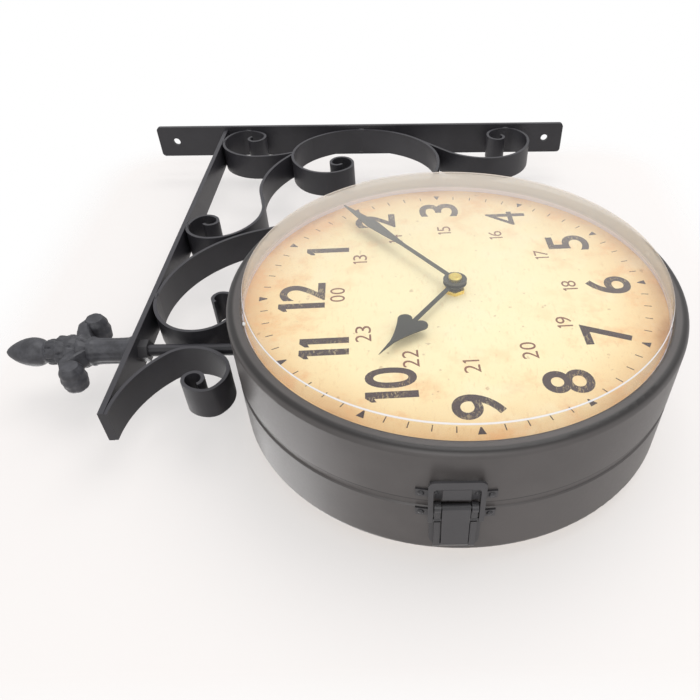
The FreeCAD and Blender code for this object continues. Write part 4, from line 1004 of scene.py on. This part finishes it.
@dataclass
class Finial:
    """The cast leaf finial that screws on the rod over the arm."""

    foot_z: float = 0.117
    stem_radius: float = 0.0080
    stem_height: float = 0.025
    body_radius: float = 0.0097
    body_height: float = 0.0245
    neck_radius: float = 0.0066
    bud_radius: float = 0.0084
    bud_height: float = 0.0235
    knob_out: float = 0.0209
    knob_radius: float = 0.0075
    knob_width: float = 0.0150
    around: int = 96
    knob_around: int = 56
    blade_around: int = 28

    def stem(self) -> Shape:
        """A waisted, fluted shank between two collars.

        The radius is a waist of sin(pi t) form, a bell-shaped collar near each end, and nine
        shallow flutes of cos(9 angle) form.
        """
        t = np.linspace(0, 1, 60)
        angle = turns(self.around)
        waist = self.stem_radius - 0.0006 * np.sin(np.pi * t) ** 0.7
        collar = 0.0007 * (np.exp(-((t - 0.05) / 0.05) ** 2) + np.exp(-((t - 0.93) / 0.06) ** 2))
        flute = -0.00042 * (0.5 + 0.5 * np.cos(9 * angle)) ** 3
        radii = (waist + collar)[:, None] + flute[None, :] * np.sin(np.pi * t)[:, None] ** 0.5
        return self.closed(radii, t * self.stem_height)

    def closed(self, radii: Points, heights: Points) -> Shape:
        """A lathe surface with both its ends drawn to the axis.

        Args:
            radii: the profile by angle.
            heights: the profile's heights.
        Returns:
            The closed surface.
        """
        end = np.zeros((1, self.around))
        return lathe(np.vstack([end, radii, end]), np.r_[heights[0], heights, heights[-1]],
                     self.around)

    def leaves(self) -> Shape:
        """The swelling body of four rows of overlapping leaf scales.

        Each row flares outwards to a lip and is scalloped by |cos|, and every second row is turned
        by half a leaf.
        """
        t = np.linspace(0, 1, 150)
        angle = turns(self.around)
        swell = np.interp(t, [0, 0.22, 0.5, 0.8, 1.0], [
            self.stem_radius + 0.0004, self.body_radius * 0.97, self.body_radius,
            self.body_radius * 0.84, self.neck_radius])
        rows, count = 4.0, 6
        row = np.floor(t * rows * 0.9999)
        phase = (row % 2) * np.pi / count
        arch = np.abs(np.cos(count / 2 * (angle[None, :] + phase[:, None])))
        level = (t * rows - row)[:, None]
        scale = np.clip(level - 0.55 * (1 - arch ** 0.7), 0, 1)
        vein = np.cos(count * 3 * (angle[None, :] + phase[:, None])) * 0.00018
        radii = swell[:, None] - 0.0012 + 0.0023 * scale ** 0.8 * (1 - 0.55 * level ** 6) + vein
        radii = np.minimum(radii, self.body_radius)
        return self.closed(radii, self.stem_height - 0.0004 + t * self.body_height)

    def bud(self) -> Shape:
        """A pointed bud with a collar: an egg profile with three shallow grooves that twist.

        The grooves are the eighth power of |sin(1.5 angle + 2.2 t)|.
        """
        t = np.linspace(0, 1, 70)
        angle = turns(self.around)
        rise = np.clip((t - 0.08) / 0.92, 0, 1)
        egg = np.interp(rise, [0, 0.05, 0.12, 0.22, 0.34, 0.48, 0.62, 0.75, 0.86, 0.94, 0.985, 1.0],
                        np.array([0.72, 0.82, 0.92, 0.985, 1.0, 0.94, 0.81, 0.64, 0.46, 0.30, 0.16,
                                  0.04]) * self.bud_radius)
        egg = np.convolve(np.pad(egg, 2, "edge"), np.ones(5) / 5, "valid")
        egg += 0.0005 * np.exp(-((t - 0.02) / 0.03) ** 2)
        groove = -0.00020 * np.abs(np.sin(1.5 * angle[None, :] + 2.2 * t[:, None])) ** 8
        radii = egg[:, None] + groove * np.sin(np.pi * t)[:, None]
        base = self.stem_height + self.body_height - 0.0008
        return self.closed(radii, base + t * (self.bud_height + 0.0008))

    def knob(self, sign: int) -> Shape:
        """A leaf curled into a roll: a grooved drum across y, and the leaf blade that leads to it.

        The drum's radius is eased at its ends, and its seven grooves are the sixth power of
        |sin(3.5 angle + 0.6)|.  The blade is an ellipse carried along an arc from the body: it
        widens, is widest before the roll, and thins all the way.

        Args:
            sign: which side of the finial it is on, 1 or -1 along x.
        Returns:
            The drum and the blade.
        """
        t = np.linspace(-1, 1, 31)
        angle = turns(self.knob_around)
        ease = (1 - np.abs(t) ** 3 * 0.24) * (0.92 + 0.08 * t)
        groove = 1 - 0.05 * np.abs(np.sin(3.5 * angle + 0.6)) ** 6
        radii = self.knob_radius * ease[:, None] * groove[None, :] * (
            1 + 0.025 * np.sin(9 * t)[:, None])
        drum = lathe(np.vstack([0 * radii[:1], radii, 0 * radii[:1]]),
                     np.r_[-0.90, t, 0.90] * self.knob_width / 2, self.knob_around)
        turn = np.array([[1.0, 0, 0], [0, 0, 1.0], [0, -1.0, 0]])
        knob_z = self.stem_height + 0.0033
        made = Shape().add(drum.moved(turn, (sign * self.knob_out, 0, knob_z)))
        u = np.linspace(0, 1, 36)
        v = turns(self.blade_around)
        path_x = sign * np.interp(u, [0, 0.35, 0.7, 1], [0.0035, 0.0105, 0.0165, self.knob_out])
        path_z = np.interp(u, [0, 0.35, 0.7, 1], [
            self.stem_height + 0.0035, self.stem_height + 0.0068, self.stem_height + 0.0082,
            knob_z + 0.0034])
        wide = np.interp(u, [0, 0.3, 0.7, 1], [0.0060, 0.0068, 0.0074, 0.0070])
        deep = np.interp(u, [0, 0.4, 1], [0.0066, 0.0048, 0.0036])
        rib = 1 + 0.10 * np.cos(5 * v)[None, :]
        ring = np.stack([
            np.repeat(path_x[:, None], self.blade_around, axis=1),
            wide[:, None] * np.cos(v)[None, :] * rib,
            path_z[:, None] + deep[:, None] * np.sin(v)[None, :] * rib], -1)
        first, last = (np.repeat(end.mean(1, keepdims=True), self.blade_around, axis=1)
                       for end in (ring[:1], ring[-1:]))
        return made.add(grid(np.concatenate([first, ring, last])))

    def build(self, material: Material) -> None:
        """Makes the casting and lets it stand for the plain node."""
        made = Shape().add(self.stem()).add(self.leaves()).add(self.bud())
        made.add(self.knob(1)).add(self.knob(-1))
        made = made.at(AXIS_X, 0.0, self.foot_z)
        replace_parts(made.piece("finial_casting", "bracket", material, "cast_black"), "finial")


@dataclass
class Studio:
    """The pale floor that the clock lies on, the soft lamps, the white world and the camera.

    middle and reach are the middle and half lengths, in x and z, of the box that the floor's fade
    starts from, and fade is how far it runs.  The camera has its place, its three directions, its
    focal length, its sensor and its shift.
    """

    floor_y: float = 0.0334
    floor_half: float = 1.9
    middle: tuple[float, float] = (-0.21, -0.02)
    reach: tuple[float, float] = (0.20, 0.19)
    fade: float = 0.09
    glow: float = 0.45
    floor_colour: Colour = (0.93, 0.865, 0.835)
    world_level: float = 0.62
    aim: Triple = (AXIS_X * 0.7, 0.0, 0.0)
    eye: Triple = (-0.5713, -0.2463, -0.0362)
    right: Triple = (-0.0148, 0.0050, -0.9999)
    down: Triple = (-0.6956, 0.7183, 0.0139)
    ahead: Triple = (0.7183, 0.6957, -0.0072)
    lens_mm: float = 34.15
    sensor_mm: float = 36.0
    shift: tuple[float, float] = (-0.0867, 0.0569)

    def floor(self) -> None:
        """A plane that shows from the door side only, lets lamps through and fades to white.

        The fade follows the distance from a box round the object: the length of the two
        overshoots max(|x| - reach, 0) and max(|z| - reach, 0).
        """
        tree = Tree("floor_paper")
        x, _, z = tree.parts(tree.place())
        over_x = (abs(x - self.middle[0]) - self.reach[0]).most(0.0)
        over_z = (abs(z - self.middle[1]) - self.reach[1]).most(0.0)
        far = ((over_x * over_x + over_z * over_z) ** 0.5).step(0.0, self.fade)
        far = far.most(self.glow)
        behind = tree.node("ShaderNodeNewGeometry", {}, {}, "Backfacing")
        shadow = tree.node("ShaderNodeLightPath", {}, {}, "Is Shadow Ray")
        paper = tree.raw("ShaderNodeBsdfDiffuse", {}, {
            "Color": tree.mix(tree.noise(0.3, 3.0) * 0.3, self.floor_colour, (0.93, 0.9, 0.88))})
        clear = tree.raw("ShaderNodeBsdfTransparent", {}, {})
        blend = tree.raw("ShaderNodeMixShader", {}, [
            far.most(behind).most(shadow), paper.outputs[0], clear.outputs[0]])
        tree.raw("ShaderNodeOutputMaterial", {}, {"Surface": blend.outputs[0]})
        half = self.floor_half
        corners = np.array([(-half, 0, -half), (half, 0, -half), (half, 0, half), (-half, 0, half)])
        mesh = bpy.data.meshes.new("floor")
        mesh.from_pydata((corners + [AXIS_X, self.floor_y, 0]).tolist(), [], [(0, 1, 2, 3)])
        mesh.materials.append(tree.material)
        put("floor", mesh)

    def world(self) -> None:
        """White to the camera, straight or through clear plastic, and a plain level otherwise."""
        world = bpy.data.worlds.new("studio")
        bpy.context.scene.world = world
        world.use_nodes = True
        nodes, links = world.node_tree.nodes, world.node_tree.links
        nodes.clear()
        path, seen, level, glow, out = (nodes.new(f"ShaderNode{kind}") for kind in (
            "LightPath", "Math", "MapRange", "Background", "OutputWorld"))
        seen.operation = "MAXIMUM"
        level.inputs["To Min"].default_value = self.world_level
        level.inputs["To Max"].default_value = 1.0
        glow.inputs["Color"].default_value = (1, 1, 1, 1)
        for source, socket in ((path.outputs["Is Camera Ray"], seen.inputs[0]),
                               (path.outputs["Is Transmission Ray"], seen.inputs[1]),
                               (seen.outputs[0], level.inputs["Value"]),
                               (level.outputs[0], glow.inputs["Strength"]),
                               (glow.outputs[0], out.inputs["Surface"])):
            links.new(source, socket)

    def lamp(self, name: str, towards: tuple, distance: float, size: float, level: float) -> None:
        """A square area lamp that looks at the clock.

        Args:
            name: its name.
            towards: the direction from the clock to the lamp.
            distance: how far off it stands.
            size: its side.
            level: the share of plain lighting that it gives, so its power is level (pi d) ** 2.
        """
        data = bpy.data.lights.new(name, "AREA")
        data.size, data.energy = size, level * (math.pi * distance) ** 2
        turn = frame_on(towards, (0.0, 0.1, 1.0))
        put(name, data).matrix_world = stand(turn, np.array(self.aim) + turn[:, 2] * distance)

    def camera(self) -> None:
        """The camera at the photograph's place; its columns are right, up and back."""
        data = bpy.data.cameras.new("camera")
        data.lens, data.sensor_width = self.lens_mm, self.sensor_mm
        data.shift_x, data.shift_y = self.shift
        data.clip_start, data.clip_end = 0.01, 20.0
        made = put("camera", data)
        columns = np.stack([np.array(self.right), -np.array(self.down), -np.array(self.ahead)], 1)
        made.matrix_world = stand(columns, self.eye).normalized()
        bpy.context.scene.camera = made

    def build(self) -> None:
        """Sets the stage."""
        bpy.context.scene.view_settings.view_transform = "Standard"
        self.floor()
        self.world()
        self.lamp("key", (0.22, -0.94, -0.24), distance=1.3, size=1.1, level=0.46)
        self.lamp("fill", (-0.80, -0.55, 0.05), distance=1.5, size=1.0, level=0.22)
        self.lamp("back", (0.1, 0.9, 0.5), distance=1.4, size=0.9, level=0.45)
        self.camera()


def dress_nodes(nodes: dict[str, bpy.types.Object]) -> dict[str, Material]:
    """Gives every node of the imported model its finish.

    Args:
        nodes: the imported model's nodes.
    Returns:
        The finishes that new pieces share, by name.
    """
    # The strip's faces that look along y, its narrow edges, are lightened: rubbed paint and a
    # painted edge highlight.
    strip = Paint("strip_paint", shade(46, 45, 49), rough=0.40, edge=0.32).make()
    # The case paint is darker in a band along the seam, a painted shadow in its gap, and in a ring
    # on the bezel, painted shade on its roll.
    case = Paint("case_paint", shade(88, 84, 83), rough=0.36, cloud=0.10, peel=0.0014,
                 shaded=((SEAM_Y, 0.0010, 0.92),), ring=(0.1160, 0.0022, 0.75)).make()
    # The latch's faces that look along x are lightened: rubbed paint and a painted highlight.
    latch = Paint("latch_paint", shade(58, 57, 59), rough=0.32, cloud=0.18, peel=0.0007,
                  peel_height=0.00005, edge=0.22, edge_axis=0).make()
    cast = CastPaint("cast_paint", shade(58, 58, 62), shade(82, 82, 87)).make()
    brass = Metal("yellow_brass", shade(255, 232, 130), shade(222, 184, 92), 0.3).make()
    steel = Metal("plain_steel", shade(170, 172, 176), shade(120, 118, 116), 0.3).make()
    hand = Paint("hand_paint", shade(54, 56, 54), rough=0.45, cloud=0.08, peel=0.0006).make()
    moulded = Moulding("movement_plastic", shade(34, 34, 36)).make()
    knob = Moulding("knob_plastic", shade(196, 198, 202), 0.4).make()
    inner = Paint("inner_paint", shade(120, 120, 120), rough=0.5).make()
    ring = Moulding("ring_plastic", shade(218, 212, 222), 0.42).make()
    dial = AgedDial("dial_paper").make()
    finishes = {
        **dict.fromkeys(("wall_strip", "bracket_arm", "main_scroll", "corner_scroll",
                         "branch_scroll", "lower_scroll", "outer_scroll", "hanger_rod"), strip),
        **dict.fromkeys(("shell_nut", "shell_washer", "hinge_pin"), steel),
        **dict.fromkeys(("arm_nut", "hinge_leaf_back", "hinge_leaf_front", "latch_base",
                         "latch_catch", "latch_lever", "latch_loop", "latch_pivot_pin",
                         "latch_link_pin"), latch),
        "finial": cast}
    for side in Side:
        front = side.bezel_y + side.facing * LENS_STAND
        split_x = AXIS_X - side.facing * CELL_SPLIT
        own = {
            "shell": case, "lens": ClearPlastic(f"{side.label}_clear", front).make(),
            "spacer_ring": ring, "dial": dial, "dial_carrier": inner, "movement": moulded,
            "battery": CellWrap(f"{side.label}_cell", split_x).make(),
            "bush_nut": brass, "set_knob": knob, "hour_tube": brass, "hour_hand": hand,
            "minute_shaft": brass, "minute_hand": hand, "cap_nut": brass}
        finishes.update({f"{side.label}_{name}": made for name, made in own.items()})
    for name, node in nodes.items():
        node.data.materials.clear()
        node.data.materials.append(finishes[name])
        LOG.info("%s: %s", name, finishes[name].name)
    return {"strip": strip, "latch": latch, "cast": cast}


def main() -> None:
    """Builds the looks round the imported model, in order."""
    logging.basicConfig(level=logging.INFO, format="%(name)s: %(message)s")
    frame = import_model()
    shared = dress_nodes(frame["nodes"])
    inks = {"dark": WornInk("dark_ink", shade(52, 40, 46), shade(84, 66, 66)).make(),
            "brown": WornInk("brown_ink", shade(120, 74, 62), shade(146, 100, 80), 0.4).make()}
    clear = Moulding("nub_plastic", shade(225, 226, 228), 0.12).make()
    for side in Side:
        DialPrint(side).build(inks)
        LensNubs(side).build(clear)
    LatchRivets().build(shared["latch"])
    WeldBeads().build(shared["strip"])
    Finial().build(shared["cast"])
    Studio().build()


if __name__ == "__main__":
    main()
